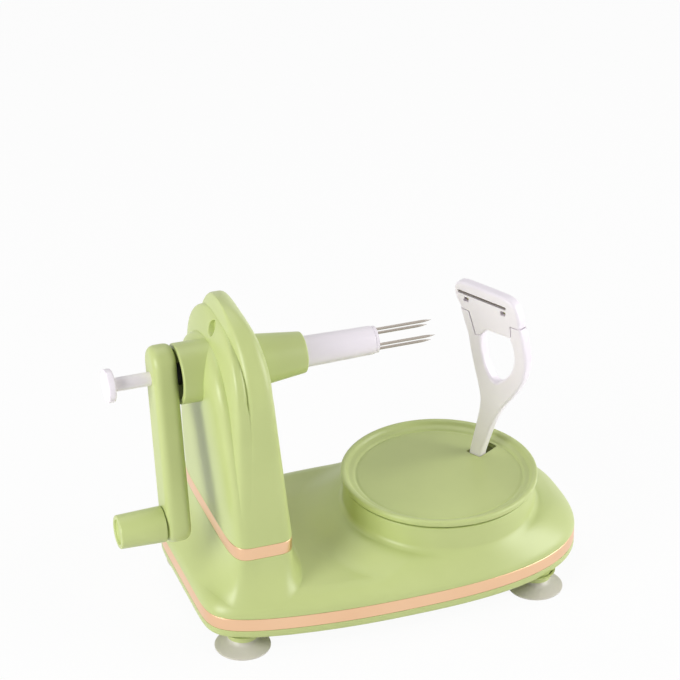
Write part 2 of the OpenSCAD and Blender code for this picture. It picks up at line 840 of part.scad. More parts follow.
// Pieces on the knob's axis, placed by their own x
module at_knob() {
    in_crank_frame() translate([-crank_left, 0, -crank_len]) rotate([0, 90, 0]) children();
}

knob_floor = knob_left + knob_recess_depth;
knob_head_r = 5;
knob_head_t = 2;
knob_edge = 0.6;
knob_cap_sink = 1.5;
knob_cap_t = 2;

module crank_knob() color(green) at_knob() rotate_extrude() polygon([
    [knob_axle_r + run_fit, knob_floor], [knob_recess_r, knob_floor], [knob_recess_r, knob_left + 1],
    [knob_recess_r + 1, knob_left], [knob_end_r - 1, knob_left], [knob_end_r, knob_left + 1],
    [knob_r, knob_right - knob_edge], [knob_r - knob_edge, knob_right],
    [knob_axle_r + run_fit, knob_right]]);

// Cap pressed into the recess, over the axle's head
module knob_cap() color(green) at_knob()
    disc(knob_left + knob_cap_sink, knob_left + knob_cap_sink + knob_cap_t, knob_recess_r - seat_fit);

module knob_axle() color(steel) at_knob() {
    disc(knob_floor - pass_gap - knob_head_t, knob_floor - pass_gap, knob_head_r);
    disc(knob_floor - pass_gap - eps, crank_left + crank_t - 2 - seat_fit, knob_axle_r);
}

// Push rod, from the button through the hollow spindle to the ejector plate
module push_rod() color(white_plastic) along_spindle()
    disc(button_right, holder_x + plate_gap, rod_r);

button_dish = 0.6;
button_dish_r = button_r - 2.5;
button_rim_r = button_r - 1.5;
button_edge = 0.8;

module push_button() color(white_plastic) along_spindle() rotate_extrude() polygon([
    [0, button_left + button_dish], [button_dish_r, button_left + button_dish],
    [button_rim_r, button_left], [button_r - button_edge, button_left],
    [button_r, button_left + button_edge], [button_r, button_right - button_edge],
    [button_r - button_edge, button_right], [0, button_right]]);

module ejector_plate() color(white_plastic) difference() {
    along_spindle() disc(holder_x + plate_gap, holder_x + plate_gap + ejector_t, ejector_r);
    needle_places() disc(holder_x, holder_x + plate_gap + ejector_t + 1, needle_r + needle_gap);
}

// Gear train

shaft_step = 0.8;
shaft_short = 0.5;
crown_bore_r = shaft_r - shaft_step;
shaft_top = crown_root_z - shaft_short;
shaft_shoulder = crown_root_z - crown_web;

module drive_shaft() color(steel) at_shaft() {
    disc(base_bottom + 1 + pass_gap, shaft_shoulder, shaft_r);
    disc(shaft_shoulder - eps, shaft_top, crown_bore_r);
}

module crown_tooth() {
    rotate([90, 0, 90]) translate([0, 0, crown_pitch_r - crown_face / 2])
        linear_extrude(height = crown_face) polygon([
            [-crown_tooth_root / 2, crown_root_z - crown_sink],
            [crown_tooth_root / 2, crown_root_z - crown_sink],
            [crown_tooth_root / 2, crown_root_z], [crown_tooth_tip / 2, crown_tip_z],
            [-crown_tooth_tip / 2, crown_tip_z], [-crown_tooth_root / 2, crown_root_z]]);
}

module crown_gear() color(gear_white) at_shaft() {
    difference() {
        disc(shaft_shoulder, crown_root_z, crown_pitch_r + crown_face / 2 + crown_rim);
        disc(shaft_shoulder - eps, crown_root_z + eps, crown_bore_r + seat_fit / 2);
    }
    for (k = [0 : crown_teeth - 1]) rotate((k + 0.5) * 360 / crown_teeth) crown_tooth();
}

module shaft_pinion() color(gear_white) at_shaft() difference() {
    translate([0, 0, wheel_z]) spur_gear(shaft_teeth, shaft_module, gear_face, 180 / shaft_teeth);
    disc(wheel_z - eps, wheel_z + gear_face + eps, shaft_r + seat_fit / 2);
}

module idler_gear() color(gear_white) at_idler() difference() {
    union() {
        translate([0, 0, wheel_z]) spur_gear(wheel_teeth, shaft_module, gear_face, 180);
        translate([0, 0, wheel_z])
            spur_gear(idler_teeth, table_module, table_gear_z + gear_face - wheel_z, 0);
    }
    disc(wheel_z - eps, table_gear_z + gear_face + eps, idler_axle_r + run_fit);
}

module idler_axle() color(steel) at_idler()
    disc(base_bottom + 1 + seat_fit, cavity_top - pass_gap, idler_axle_r);

module turntable_gear() color(gear_white) at_table() difference() {
    translate([0, 0, table_gear_z]) spur_gear(table_teeth, table_module, gear_face, 180 + 180 / table_teeth);
    disc(table_gear_z - eps, table_gear_z + gear_face + eps, table_boss_r + seat_fit / 2);
}

module turntable_bolt() color(steel) at_table() {
    disc(base_bottom + bolt_sink, base_bottom + bolt_head_t - pass_gap, bolt_head_r);
    disc(base_bottom + 1, bolt_top, table_bolt_r);
}

// Turntable and peeler arm

module in_arm_frame() {
    at_table() rotate([0, 0, arm_azimuth]) mirror([0, 1, 0]) children();
}

module along_pivot(y0, y1, r) {
    translate([pivot_x, y0, pivot_z]) rotate([-90, 0, 0]) cylinder(h = y1 - y0, r = r);
}

ear_in_y = stem_y1 + pass_gap;
ear_out_y = stem_y0 - spring_room;

module arm_ear(y) {
    along_pivot(y, y + ear_t, ear_r);
    translate([pivot_x - ear_r, y, pivot_z]) cube([2 * ear_r, ear_t, dish_under + 1 - pivot_z]);
}

// Half the disc's section: a dish whose side sweeps up into a rolled rim, a skirt and a hub under it
function dish_side() =
    [for (i = [0 : rim_steps])
        let (u = i / rim_steps)
        [dish_r + rim_slope * u, dish_floor + dish_depth * (1 - cos(180 * u)) / 2]];

function rim_roll() =
    [for (i = [0 : rim_steps])
        let (t = 90 * i / rim_steps)
        [table_r - rim_round * (1 - sin(t)), table_top - rim_round * (1 - cos(t))]];

module turntable_disc() color(green) difference() {
    union() {
        at_table() rotate_extrude() polygon(concat(
            [[0, dish_floor]], dish_side(), rim_roll(),
            [[table_r, rim_under + rim_lip], [table_r - rim_lip, rim_under], [skirt_r, rim_under],
            [skirt_r, skirt_z], [skirt_r - skirt_t, skirt_z], [skirt_r - skirt_t, dish_under],
            [table_boss_r + hub_foot, dish_under], [table_boss_r, dish_under - hub_foot],
            [table_boss_r, table_hub_z], [0, table_hub_z]]));
        in_arm_frame() {
            arm_ear(ear_in_y);
            arm_ear(ear_out_y - ear_t);
        }
    }
    at_table() disc(table_hub_z - 1, bolt_top + seat_fit, table_bolt_r + seat_fit / 2);
    in_arm_frame() {
        translate([arm_in_r - pass_gap, stem_y0 - slot_side, dish_under - 1])
            cube([arm_t + slot_out + pass_gap, stem_w + 2 * slot_side, table_top]);
        along_pivot(ear_out_y - ear_t - 1, ear_in_y + ear_t + 1, pivot_r + seat_fit / 2);
    }
}

module arm_pivot_pin() color(steel) in_arm_frame()
    along_pivot(ear_out_y - ear_t, ear_in_y + ear_t, pivot_r);

// Torsion spring: one unbroken wire wound round the pivot pin
function spring_point(i) =
    let (t = i * 360 / spring_rings)
    [pivot_x + spring_coil_r * cos(t),
        ear_out_y + pass_gap + spring_wire + spring_pitch * i / spring_rings,
        pivot_z + spring_coil_r * sin(t)];

spring_last = spring_turns * spring_rings;
spring_gap = min([for (i = [0 : spring_last], j = [i + spring_rings / 2 : 1 : spring_last])
    norm(spring_point(i) - spring_point(j))]) - 2 * spring_wire;
echo(spring_least_gap = spring_gap);

module arm_spring() color(steel) in_arm_frame() {
    loft([for (i = [0 : spring_last])
        let (c = spring_point(i), t = i * 360 / spring_rings)
        [for (j = [0 : spring_sides - 1])
            let (s = -j * 360 / spring_sides, out = spring_wire * cos(s))
            [c[0] + out * cos(t), c[1] + spring_wire * sin(s), c[2] + out * sin(t)]]]);
}

// Smooth closed curve through hand-chosen points
function spline_at(a, b, c, d, t) =
    0.5 * (2 * b + (c - a) * t + (2 * a - 5 * b + 4 * c - d) * t * t + (3 * b - a - 3 * c + d) * t * t * t);

function closed_spline(points, steps) =
    let (n = len(points))
    [for (i = [0 : n - 1], j = [0 : steps - 1])
        spline_at(points[(i + n - 1) % n], points[i], points[(i + 1) % n], points[(i + 2) % n], j / steps)];

function open_spline(points, steps) =
    let (n = len(points))
    concat([for (i = [0 : n - 2], j = [0 : steps - 1])
        spline_at(points[max(0, i - 1)], points[i], points[i + 1], points[min(n - 1, i + 2)], j / steps)],
        [points[n - 1]]);

module arm_plate(x, t) {
    translate([x, 0, 0]) rotate([90, 0, 90]) linear_extrude(height = t) children();
}

module arm_outline() {
    difference() {
        polygon(open_spline(concat(arm_left, arm_head, arm_right), arm_steps));
        polygon(closed_spline(arm_hole, arm_steps));
    }
}

module peeler_arm() color(white_plastic) in_arm_frame() difference() {
    union() {
        arm_plate(arm_in_r, arm_t) difference() {
            arm_outline();
            polygon(head_joint);
        }
        along_pivot(stem_y0, stem_y1, hub_arm_r);
    }
    along_pivot(stem_y0 - 1, stem_y1 + 1, pivot_r + run_fit);
}

module blade_head() color(white_plastic) in_arm_frame() difference() {
    arm_plate(arm_in_r - head_proud, arm_t + head_proud) intersection() {
        arm_outline();
        translate([0, seat_fit]) polygon(head_joint);
    }
    translate([arm_in_r - 1, slit_y - slit_len / 2, slit_z - slit_h / 2]) cube([arm_t + 2, slit_len, slit_h]);
    for (y = [slit_y - pin_y, slit_y + pin_y]) blade_pin(y, blade_pin_r + seat_fit / 2);
}

module blade_pin(y, r) {
    translate([arm_in_r - head_proud - blade_pin_proud, y, slit_z - pin_drop]) rotate([0, 90, 0])
        cylinder(h = blade_pin_len, r = r);
}

module blade_pins() color(steel)
    in_arm_frame() for (y = [slit_y - pin_y, slit_y + pin_y]) blade_pin(y, blade_pin_r);

module peeler_blade() color(steel) in_arm_frame()
    translate([arm_in_r - head_proud, slit_y - slit_len / 2 + seat_fit, slit_z])
        rotate([0, blade_tilt, 0]) cube([blade_w, slit_len - 2 * seat_fit, blade_t]);

base_shell();
base_bottom_plate();
base_trim_band();
suction_cup_front_left();
suction_cup_front_right();
suction_cup_rear_left();
suction_cup_rear_right();
column_shell();
column_cover();
column_trim_band();
column_screw();
base_screws();
hub_bush();
boss_bush();
idler_axle();
spindle_shaft();
fork_holder();
fork_needles();
spindle_pinion();
crank_arm();
knob_axle();
crank_knob();
knob_cap();
push_rod();
push_button();
ejector_plate();
drive_shaft();
crown_gear();
shaft_pinion();
idler_gear();
turntable_disc();
turntable_gear();
turntable_bolt();
arm_pivot_pin();
arm_spring();
peeler_arm();
blade_head();
peeler_blade();
blade_pins();
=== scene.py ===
# Hand-cranked apple peeler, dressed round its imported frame: from the base up, then the drive that
# turns the fruit, then the turntable and its sprung arm, then the studio.
from collections import namedtuple

import bmesh
import bpy
import numpy as np
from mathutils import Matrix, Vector


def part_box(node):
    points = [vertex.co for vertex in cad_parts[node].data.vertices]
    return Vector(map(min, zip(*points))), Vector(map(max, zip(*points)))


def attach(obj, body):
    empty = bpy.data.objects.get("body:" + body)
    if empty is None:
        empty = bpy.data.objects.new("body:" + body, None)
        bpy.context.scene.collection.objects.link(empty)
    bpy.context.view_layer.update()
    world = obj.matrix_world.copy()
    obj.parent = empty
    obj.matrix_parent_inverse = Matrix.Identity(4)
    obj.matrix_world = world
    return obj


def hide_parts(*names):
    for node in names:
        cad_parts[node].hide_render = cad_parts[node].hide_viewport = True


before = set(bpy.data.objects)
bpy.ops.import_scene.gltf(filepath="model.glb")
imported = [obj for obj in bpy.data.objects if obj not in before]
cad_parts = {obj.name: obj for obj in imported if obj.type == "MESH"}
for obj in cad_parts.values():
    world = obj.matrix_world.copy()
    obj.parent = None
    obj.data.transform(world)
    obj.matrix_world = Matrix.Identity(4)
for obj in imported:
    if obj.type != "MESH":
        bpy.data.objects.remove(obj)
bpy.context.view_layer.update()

# Bottom plate
# A green moulded tray that closes the base from below, screwed up into the shell, with four round
# foot stubs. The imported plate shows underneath; a smooth lip and smooth stubs lie over its edges.
MM = 0.001


def corners(node):
    """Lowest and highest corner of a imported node, in millimetres."""
    return [np.array(corner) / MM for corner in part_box(node)]


band_low, band_high = corners("base_trim_band")
plate_low, _ = corners("base_bottom_plate")
base_left, base_right = band_low[0], band_high[0]
base_half = band_high[1]
band_z, edge_z = band_low[2], band_high[2]
deepest_at = 0.449  # share of the length, from the left
base_mid = base_left + deepest_at * (base_right - base_left)
left_power, left_taper, right_power = 9.0, 0.19, 2.8


def base_plan(turn, inset):
    """Outline of the base in direction turn, drawn in by inset: a superellipse on the right, and on
    the left a squarer one whose depth shrinks with the square of the distance from the middle."""
    right = np.cos(turn) >= 0
    reach = np.where(right, base_right - base_mid, base_mid - base_left) - inset
    power = np.where(right, right_power, left_power)
    across = (np.abs(np.cos(turn)) / reach) ** power
    along = (np.abs(np.sin(turn)) / (base_half - inset)) ** power
    radius = (across + along) ** (-1 / power)
    narrow = np.where(right, 0, left_taper * (radius * np.cos(turn) / reach) ** 2)
    return base_mid + radius * np.cos(turn), radius * np.sin(turn) * (1 - narrow)


def even_turns(x, y, turns, count):
    """Directions at which points of a closed outline lie evenly along its length."""
    step = np.hypot(np.diff(x), np.diff(y))
    length = np.concatenate([[0], np.cumsum(step)])
    return np.interp(np.arange(count) / count * length[-1], length, turns)


fine_turns = np.linspace(0, 2 * np.pi, 4000)
base_turns = even_turns(*base_plan(fine_turns, 0), fine_turns, 360)


def grid_faces(rows, columns, wrap=True):
    """Quads between neighbouring rows of a grid; wrap joins its last column to its first."""
    row = np.arange(rows - 1)[:, None] * columns
    column = np.arange(columns if wrap else columns - 1)[None, :]
    beside = (column + 1) % columns
    above = row + columns
    return np.stack([row + column, row + beside, above + beside, above + column], -1).reshape(-1, 4)


merge_within, crease = 1e-7, np.radians(42)


def piece(name, points, faces, body, surface, replaces=()):
    """A smooth mesh of points in millimetres, riding on a body: points closer than merge_within metres are
    merged, and an edge that turns by more than crease stays sharp."""
    mesh = bpy.data.meshes.new(name)
    places = np.reshape(points, (-1, 3)) * MM
    mesh.from_pydata(places.tolist(), [], faces.tolist() if isinstance(faces, np.ndarray) else faces)
    shape = bmesh.new()
    shape.from_mesh(mesh)
    bmesh.ops.remove_doubles(shape, verts=shape.verts, dist=merge_within)
    shape.to_mesh(mesh)
    shape.free()
    mesh.polygons.foreach_set("use_smooth", np.ones(len(mesh.polygons), bool))
    mesh.set_sharp_from_angle(angle=crease)
    mesh.materials.append(surface)
    made = bpy.data.objects.new(name, mesh)
    bpy.context.scene.collection.objects.link(made)
    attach(made, body)
    if replaces:
        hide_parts(*replaces)
    return made


def rounded(path, radius, steps=6):
    """A path whose inner corners are rounded: each is cut back by radius, or by half its shorter side,
    and bridged by a parabola."""
    path = np.array(path, float)
    radius = np.broadcast_to(radius, len(path))
    t = np.linspace(0, 1, steps + 1)[:, None]
    out = [path[:1]]
    for before, here, after, r in zip(path[:-2], path[1:-1], path[2:], radius[1:-1]):
        cut = min(r, np.linalg.norm(before - here) / 2, np.linalg.norm(after - here) / 2)
        start = here + (before - here) * cut / np.linalg.norm(before - here)
        end = here + (after - here) * cut / np.linalg.norm(after - here)
        out.append((1 - t) ** 2 * start + 2 * t * (1 - t) * here + t**2 * end)
    return np.concatenate(out + [path[-1:]])


def lathe(profile, centre, up=(0, 0, 1), first=(1, 0, 0), sides=96):
    """A profile of (radius, height) turned round the line through centre along up; heights count from
    centre. Outer walls are listed upwards, so that faces look away from the material."""
    turn = np.arange(sides) * 2 * np.pi / sides
    ring = np.cos(turn)[:, None] * np.array(first) + np.sin(turn)[:, None] * np.cross(up, first)
    radius, height = np.array(profile, float).T
    points = radius[:, None, None] * ring + height[:, None, None] * np.array(up) + np.array(centre)
    return points, grid_faces(len(radius), sides)


class Value:
    """A socket in a material's nodes. Arithmetic on it adds Math nodes; node() adds any other."""

    def __init__(self, tree, socket=None):
        self.tree, self.socket = tree, socket

    def fill(self, inputs, sockets):
        """Links values to sockets, and sets plain numbers and colours on them."""
        for key, value in sockets.items():
            if isinstance(value, Value):
                self.tree.links.new(value.socket, inputs[key])
            else:
                inputs[key].default_value = value

    def node(self, kind, settings, sockets, output=0):
        """A new node of a kind, its settings first and then its sockets; gives one of its outputs."""
        made = self.tree.nodes.new(kind)
        for key, setting in settings.items():
            setattr(made, key, setting)
        self.fill(made.inputs, sockets)
        return Value(self.tree, made.outputs[output])

    def math(self, operation, other):
        """A Math node on this value and another value or number."""
        return self.node("ShaderNodeMath", {"operation": operation}, {0: self, 1: other})

    def __add__(self, other):
        return self.math("ADD", other)

    def __mul__(self, other):
        return self.math("MULTIPLY", other)

    __radd__, __rmul__ = __add__, __mul__

    def noise(self, scale, detail=2.0, squeeze=None):
        """Noise in object space with about one lump in 1/scale metres, finer along an axis by its squeeze."""
        place = self.node("ShaderNodeTexCoord", {}, {}, "Object")
        if squeeze:
            place = self.node("ShaderNodeMapping", {}, {"Vector": place, "Scale": squeeze})
        return self.node("ShaderNodeTexNoise", {}, {"Vector": place, "Scale": scale, "Detail": detail})

    def blend(self, one, two):
        """This value mixes two colours: inputs 6 and 7 and output 2 are the node's colour sockets."""
        return self.node("ShaderNodeMix", {"data_type": "RGBA"}, {"Factor": self, 6: one, 7: two}, 2)

    def bump(self, strength, depth):
        """This value as a relief of a depth in metres."""
        return self.node("ShaderNodeBump", {}, {"Height": self, "Strength": strength, "Distance": depth})


def linear(code):
    """A colour written as six hexadecimal digits, as linear red, green, blue and one."""
    part = np.array([int(code[i : i + 2], 16) for i in (0, 2, 4)]) / 255
    return (*np.where(part <= 0.04045, part / 12.92, ((part + 0.055) / 1.055) ** 2.4).tolist(), 1.0)


def finish(name):
    """A new material: its Principled shader's sockets, and a value to start its sums from."""
    made = bpy.data.materials.new(name)
    made.use_nodes = True
    return made, made.node_tree.nodes["Principled BSDF"].inputs, Value(made.node_tree)


def green_plastic(name):
    """Satin moulded plastic: soft mottling, a fine spark-eroded grain, and patches a little glossier."""
    made, inputs, start = finish(name)
    cloud = start.noise(38.0, 3.0)
    grain = start.noise(2600.0, 2.0)
    sockets = {
        "Base Color": cloud.blend(linear("BECA84"), linear("C7D28D")),
        "Roughness": 0.30 + cloud * 0.10 + grain * 0.05,
        "Normal": grain.bump(0.10, 0.00012),
        "IOR": 1.49,
        "Coat Weight": 0.08,
        "Coat Roughness": 0.35,
    }
    start.fill(inputs, sockets)
    return made


green = green_plastic("green_plastic")
# The feet reach foot_drop below the lip. A seam is the fine line beside a trim band, and a skin is how far
# a piece lies over the surface that carries it.
foot_drop, lip_w, seam, skin = 4.0, 9.0, 0.12, 0.04
lip_bottom = plate_low[2] + foot_drop
lip_rows = rounded(
    [(lip_w, lip_bottom), (0, lip_bottom), (0, band_z - seam), (0.9, band_z - seam)],
    [0, 1.9, 0.35, 0],
)
lip_rows[:, 0] -= skin
lip_rows[0, 1] -= skin


def plan_rows(rows):
    """Rows of (inset, height) carried round the base's outline."""
    x, y = base_plan(base_turns[None, :], rows[:, 0][:, None])
    return np.stack([x, y, np.broadcast_to(rows[:, 1][:, None], x.shape)], -1)


piece(
    "base_lip", plan_rows(lip_rows), grid_faces(len(lip_rows), len(base_turns)),
    "base", green,
)

foot_r = 8.0
cup_names = ["suction_cup_" + place for place in ("front_left", "front_right", "rear_left", "rear_right")]
cup_middles = [(corners(name)[0] + corners(name)[1])[:2] / 2 for name in cup_names]
stub_profile = rounded(
    [(3.6, plate_low[2]), (foot_r, plate_low[2]), (foot_r + 0.5, lip_bottom), (foot_r + 2.2, lip_bottom)],
    [0, 1.1, 1.2, 0],
)
for name, middle in zip(cup_names, cup_middles):
    points, faces = lathe(stub_profile, (*middle, 0), sides=64)
    piece(name.replace("suction_cup", "foot_stub"), points, faces, "base", green)

# Suction cups
# Four soft, slightly cloudy vinyl cups, pressed by their stems into the foot stubs. The skirt is
# thin at its edge, where it lies on the table, and thicker towards the neck.


def clear_vinyl(name):
    """Cloudy soft vinyl: a little light goes through, with faint haze under a smooth skin."""
    made, inputs, start = finish(name)
    haze = start.noise(120.0, 3.0)
    sockets = {
        "Base Color": haze.blend(linear("D6D2C4"), linear("E2DFD3")),
        "Roughness": 0.26 + haze * 0.12,
        "Normal": haze.bump(0.05, 0.0002),
        "Transmission Weight": 0.1,
        "IOR": 1.45,
    }
    start.fill(inputs, sockets)
    return made


vinyl = clear_vinyl("clear_vinyl")
cup_low, cup_high = corners(cup_names[0])
cup_r = (cup_high[0] - cup_low[0]) / 2
cup_neck = plate_low[2]
# From the middle of the hollow underneath, round the thin edge, up the skirt to the neck and the stem.
cup_profile = rounded(
    [
        (0, 2.2), (7.5, 1.7), (11.5, 0.25), (cup_r, 0.02), (cup_r, 0.85), (11.0, 2.0),
        (7.2, 3.7), (5.6, cup_neck - 0.05), (3.4, cup_neck - 0.05), (3.4, cup_high[2]), (0, cup_high[2]),
    ],
    [0, 3, 2, 0.3, 0.3, 3, 2.4, 0.3, 0.2, 0.4, 0],
)
for name, middle in zip(cup_names, cup_middles):
    points, faces = lathe(cup_profile, (*middle, 0), sides=96)
    piece(name + "_soft", points, faces, "base", vinyl, [name])

# Trim bands
# Two strips of plastic with a vacuum-plated rose-gold face, one round the base and one round the
# column's foot. Each sits in a rebate and is flush with the green moulding above and below it.


def rose_gold(name):
    """Plated satin metal: fine lines drawn along the strip, and slow changes of tone."""
    made, inputs, start = finish(name)
    lines = start.noise(60.0, 4.0, (1.0, 1.0, 90.0))
    tone = start.noise(30.0, 2.0)
    sockets = {
        "Base Color": tone.blend(linear("ECC09A"), linear("F3CCA8")),
        "Metallic": 1.0,
        "Roughness": 0.27 + lines * 0.14,
        "Normal": lines.bump(0.05, 0.00005),
    }
    start.fill(inputs, sockets)
    return made


gold = rose_gold("rose_gold_plate")
band_t = 1.1


def band_rows(low, high, edge=0.3):
    """Section of a strip as (inset, height), from the lower inner edge round the face to the upper."""
    return rounded([(band_t, low), (0, low), (0, high), (band_t, high)], [0, edge, edge, 0], 4)


rows = band_rows(band_low[2], band_high[2])
piece(
    "base_band", plan_rows(rows), grid_faces(len(rows), len(base_turns)),
    "base", gold, ["base_trim_band"],
)

# The column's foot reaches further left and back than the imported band, so that the column stands close
# behind the crank.
col_low, col_high = corners("column_trim_band")
col_x, axis_y = (col_low + col_high)[:2] / 2
col_half_w, col_half_d = (col_high - col_low)[:2] / 2
col_left, col_back = 2.6, 11.5
col_x, col_half_w = col_x - col_left / 2, col_half_w + col_left / 2
col_y, col_half_d = axis_y + col_back / 2, col_half_d + col_back / 2
neck_z, col_z = col_low[2], col_high[2]
col_power = 6.0


def signed_power(value, power):
    """A value's size raised to a power, with the value's own sign."""
    return np.sign(value) * np.abs(value) ** power


def superellipse(turn, x, half_w, half_d, power):
    """Points of a superellipse round (x, the column's middle): the half widths times the direction's cosine
    and sine, each raised to 2 / power with its own sign."""
    return (
        x + half_w * signed_power(np.cos(turn), 2 / power),
        col_y + half_d * signed_power(np.sin(turn), 2 / power),
    )


col_turns = even_turns(*superellipse(fine_turns, col_x, col_half_w, col_half_d, col_power), fine_turns, 300)


def column_rows(rows):
    """Rows of (inset, height) carried round the column's foot."""
    inset = rows[:, 0][:, None]
    x, y = superellipse(col_turns[None, :], col_x, col_half_w - inset, col_half_d - inset, col_power)
    return np.stack([x, y, np.broadcast_to(rows[:, 1][:, None], x.shape)], -1)


rows = band_rows(neck_z, col_z)
piece(
    "column_band", column_rows(rows), grid_faces(len(rows), len(col_turns)),
    "base", gold, ["column_trim_band"],
)

# Base shell
# The upper moulding of the base: a soft rounded edge all round, a concave sweep up to the column's
# neck, and a round pedestal under the turntable with a swept foot. One green moulding, open inside.
edge_h, edge_w = 10.0, 12.0
crown_rise, crown_inset = 1.2, 34.0
innermost = base_half - 0.5


def crown(inset):
    """Rise of the top at an inset: from the edge's width to crown_inset it eases from none to all, as three
    times the square of the share less twice its cube."""
    part = np.clip((inset - edge_w) / (crown_inset - edge_w), 0, 1)
    return crown_rise * part**2 * (3 - 2 * part)


edge_turn = np.linspace(0, np.pi / 2, 26)
crown_run = edge_w + np.linspace(0, 1, 40)[1:] * (innermost - edge_w)
shell_rows = np.concatenate(
    [
        rounded([(1.0, edge_z + seam), (0.0, edge_z + seam), (0.0, edge_z + 0.6)], [0, 0.35, 0], 4),
        np.stack([edge_w * (1 - np.cos(edge_turn)), edge_z + edge_h * np.sin(edge_turn)], 1)[3:],
        np.stack([crown_run, edge_z + edge_h + crown(crown_run)], 1),
    ]
)
shell_points = plan_rows(shell_rows)
shell_points[-1, :, 1] = 0  # the last row closes on the middle line
shell_faces = grid_faces(len(shell_rows), len(base_turns))
table_low, table_high = corners("turntable_disc")
table_x = (table_low + table_high)[0] / 2
table_r = (table_high - table_low)[0] / 2
middles = shell_points.reshape(-1, 3)[shell_faces].mean(1)
pedestal_r = table_r - 1.2
in_pedestal = np.hypot(middles[:, 0] - table_x, middles[:, 1] - axis_y) < pedestal_r + 2
in_column = (
    np.abs((middles[:, 0] - col_x) / col_half_w) ** col_power
    + np.abs((middles[:, 1] - col_y) / col_half_d) ** col_power
) < 1
piece(
    "base_top", shell_points, shell_faces[~(in_pedestal | in_column)],
    "base", green, ["base_shell"],
)


def base_inset(x, y):
    """How far a point in plan lies inside the base's outline: halving the range 40 times finds the
    inset whose outline passes through the point."""
    low = np.zeros_like(x)
    high = np.full_like(x, innermost)
    right = x >= base_mid
    power = np.where(right, right_power, left_power)
    for _ in range(40):
        inset = (low + high) / 2
        reach = np.where(right, base_right - base_mid, base_mid - base_left) - inset
        across = (x - base_mid) / reach
        depth = y / (1 - np.where(right, 0, left_taper * np.minimum(across**2, 1)))
        outside = np.abs(across) ** power + np.abs(depth / (base_half - inset)) ** power > 1
        low, high = np.where(outside, low, inset), np.where(outside, inset, high)
    return inset


def base_height(x, y):
    """Height of the base's top over a point in plan: the rounded edge near the outline, then the crown."""
    inset = base_inset(x, y)
    turn = np.arccos(np.clip(1 - inset / edge_w, 0, 1))
    return edge_z + edge_h * np.sin(turn) + crown(inset)


def within_base(top_x, top_y, foot_x, foot_y, least):
    """The outer of two rings, drawn in along the lines to the inner one until each point lies a least
    distance inside the base's outline, found by halving the line 30 times."""
    near, far = np.zeros_like(top_x), np.ones_like(top_x)
    for _ in range(30):
        half = (near + far) / 2
        inside = base_inset(top_x + half * (foot_x - top_x), top_y + half * (foot_y - top_y)) > least
        near, far = np.where(inside, half, near), np.where(inside, far, half)
    return top_x + near * (foot_x - top_x), top_y + near * (foot_y - top_y)


def swept_foot(top_x, top_y, top_z, foot_x, foot_y, hollow, steps=56):
    """A swept foot between two rings in plan, from the lower one up. Straight lines join the rings; over
    each point stands the base's own height, plus a share of the rise that falls along a quarter of a
    superellipse from all of it at the upper ring, where the wall is upright, to none at the lower."""
    away = (1 - np.cos(np.linspace(1, 0, steps) * np.pi / 2))[:, None]
    x, y = top_x + away * (foot_x - top_x), top_y + away * (foot_y - top_y)
    ground = base_height(x, y)
    share = 1 - (1 - (1 - away) ** hollow) ** (1 / hollow)
    z = ground + (top_z - ground) * share
    z[0] -= skin
    return np.stack([x, y, z], -1)


foot_left, foot_right, foot_deep, foot_power = 12.6, 9.0, 11.5, 2.6
foot_clear, foot_hollow = 2.0, 1.8
neck_low, neck_high = neck_z - 1.2, neck_z - 0.1
neck_x, neck_y = superellipse(col_turns, col_x, col_half_w, col_half_d, col_power)
foot_x, foot_y = superellipse(
    col_turns,
    col_x + (foot_right - foot_left) / 2,
    col_half_w + (foot_left + foot_right) / 2,
    col_half_d + foot_deep,
    foot_power,
)
foot_x, foot_y = within_base(neck_x, neck_y, foot_x, foot_y, foot_clear)
points = swept_foot(neck_x, neck_y, neck_low, foot_x, foot_y, foot_hollow)
neck_rows = column_rows(rounded([(0, neck_low), (0, neck_high), (1.0, neck_high)], [0, 0.3, 0], 4))
points = np.concatenate([points, neck_rows[1:]])
piece("column_foot", points, grid_faces(len(points), len(col_turns)), "base", green)

# The pedestal: a skirt that runs out over the base, a fillet, an upright wall and its rounded lip.
ring_turns = np.arange(288) * 2 * np.pi / 288
wall_top, wall_end, pedestal_top = 50.8, 30.0, 52.4
wall_in = pedestal_r - 3.0
skirt_w, skirt_h, skirt_clear, fillet = 24.0, 6.3, 0.6, 3.0
ring_x, ring_y = np.cos(ring_turns), np.sin(ring_turns)
wall_x, wall_y = table_x + pedestal_r * ring_x, axis_y + pedestal_r * ring_y
skirt_x, skirt_y = within_base(
    wall_x, wall_y, wall_x + skirt_w * ring_x, wall_y + skirt_w * ring_y, skirt_clear
)
away = (1 - np.cos(np.linspace(1, 0, 72) * np.pi / 2))[:, None]
x, y = wall_x + away * (skirt_x - wall_x), wall_y + away * (skirt_y - wall_y)
hollow = np.clip(1 - away * np.hypot(skirt_x - wall_x, skirt_y - wall_y) / fillet, 0, 1)
z = base_height(x, y) + skirt_h * (1 - away) ** 2 * (1 + 2 * away) + fillet * (1 - np.sqrt(1 - hollow**2))
z[0] -= skin
points = np.stack([x, y, z], -1)
lip = rounded(
    [(pedestal_r, wall_top), (pedestal_r, pedestal_top), (wall_in, pedestal_top), (wall_in, wall_end)],
    [0, 0.7, 0.5, 0], 4,
)
lip_points, _ = lathe(lip, (table_x, axis_y, 0), sides=len(ring_turns))
points = np.concatenate([points, lip_points[1:]])
piece("pedestal", points, grid_faces(len(points), len(ring_turns)), "base", green)

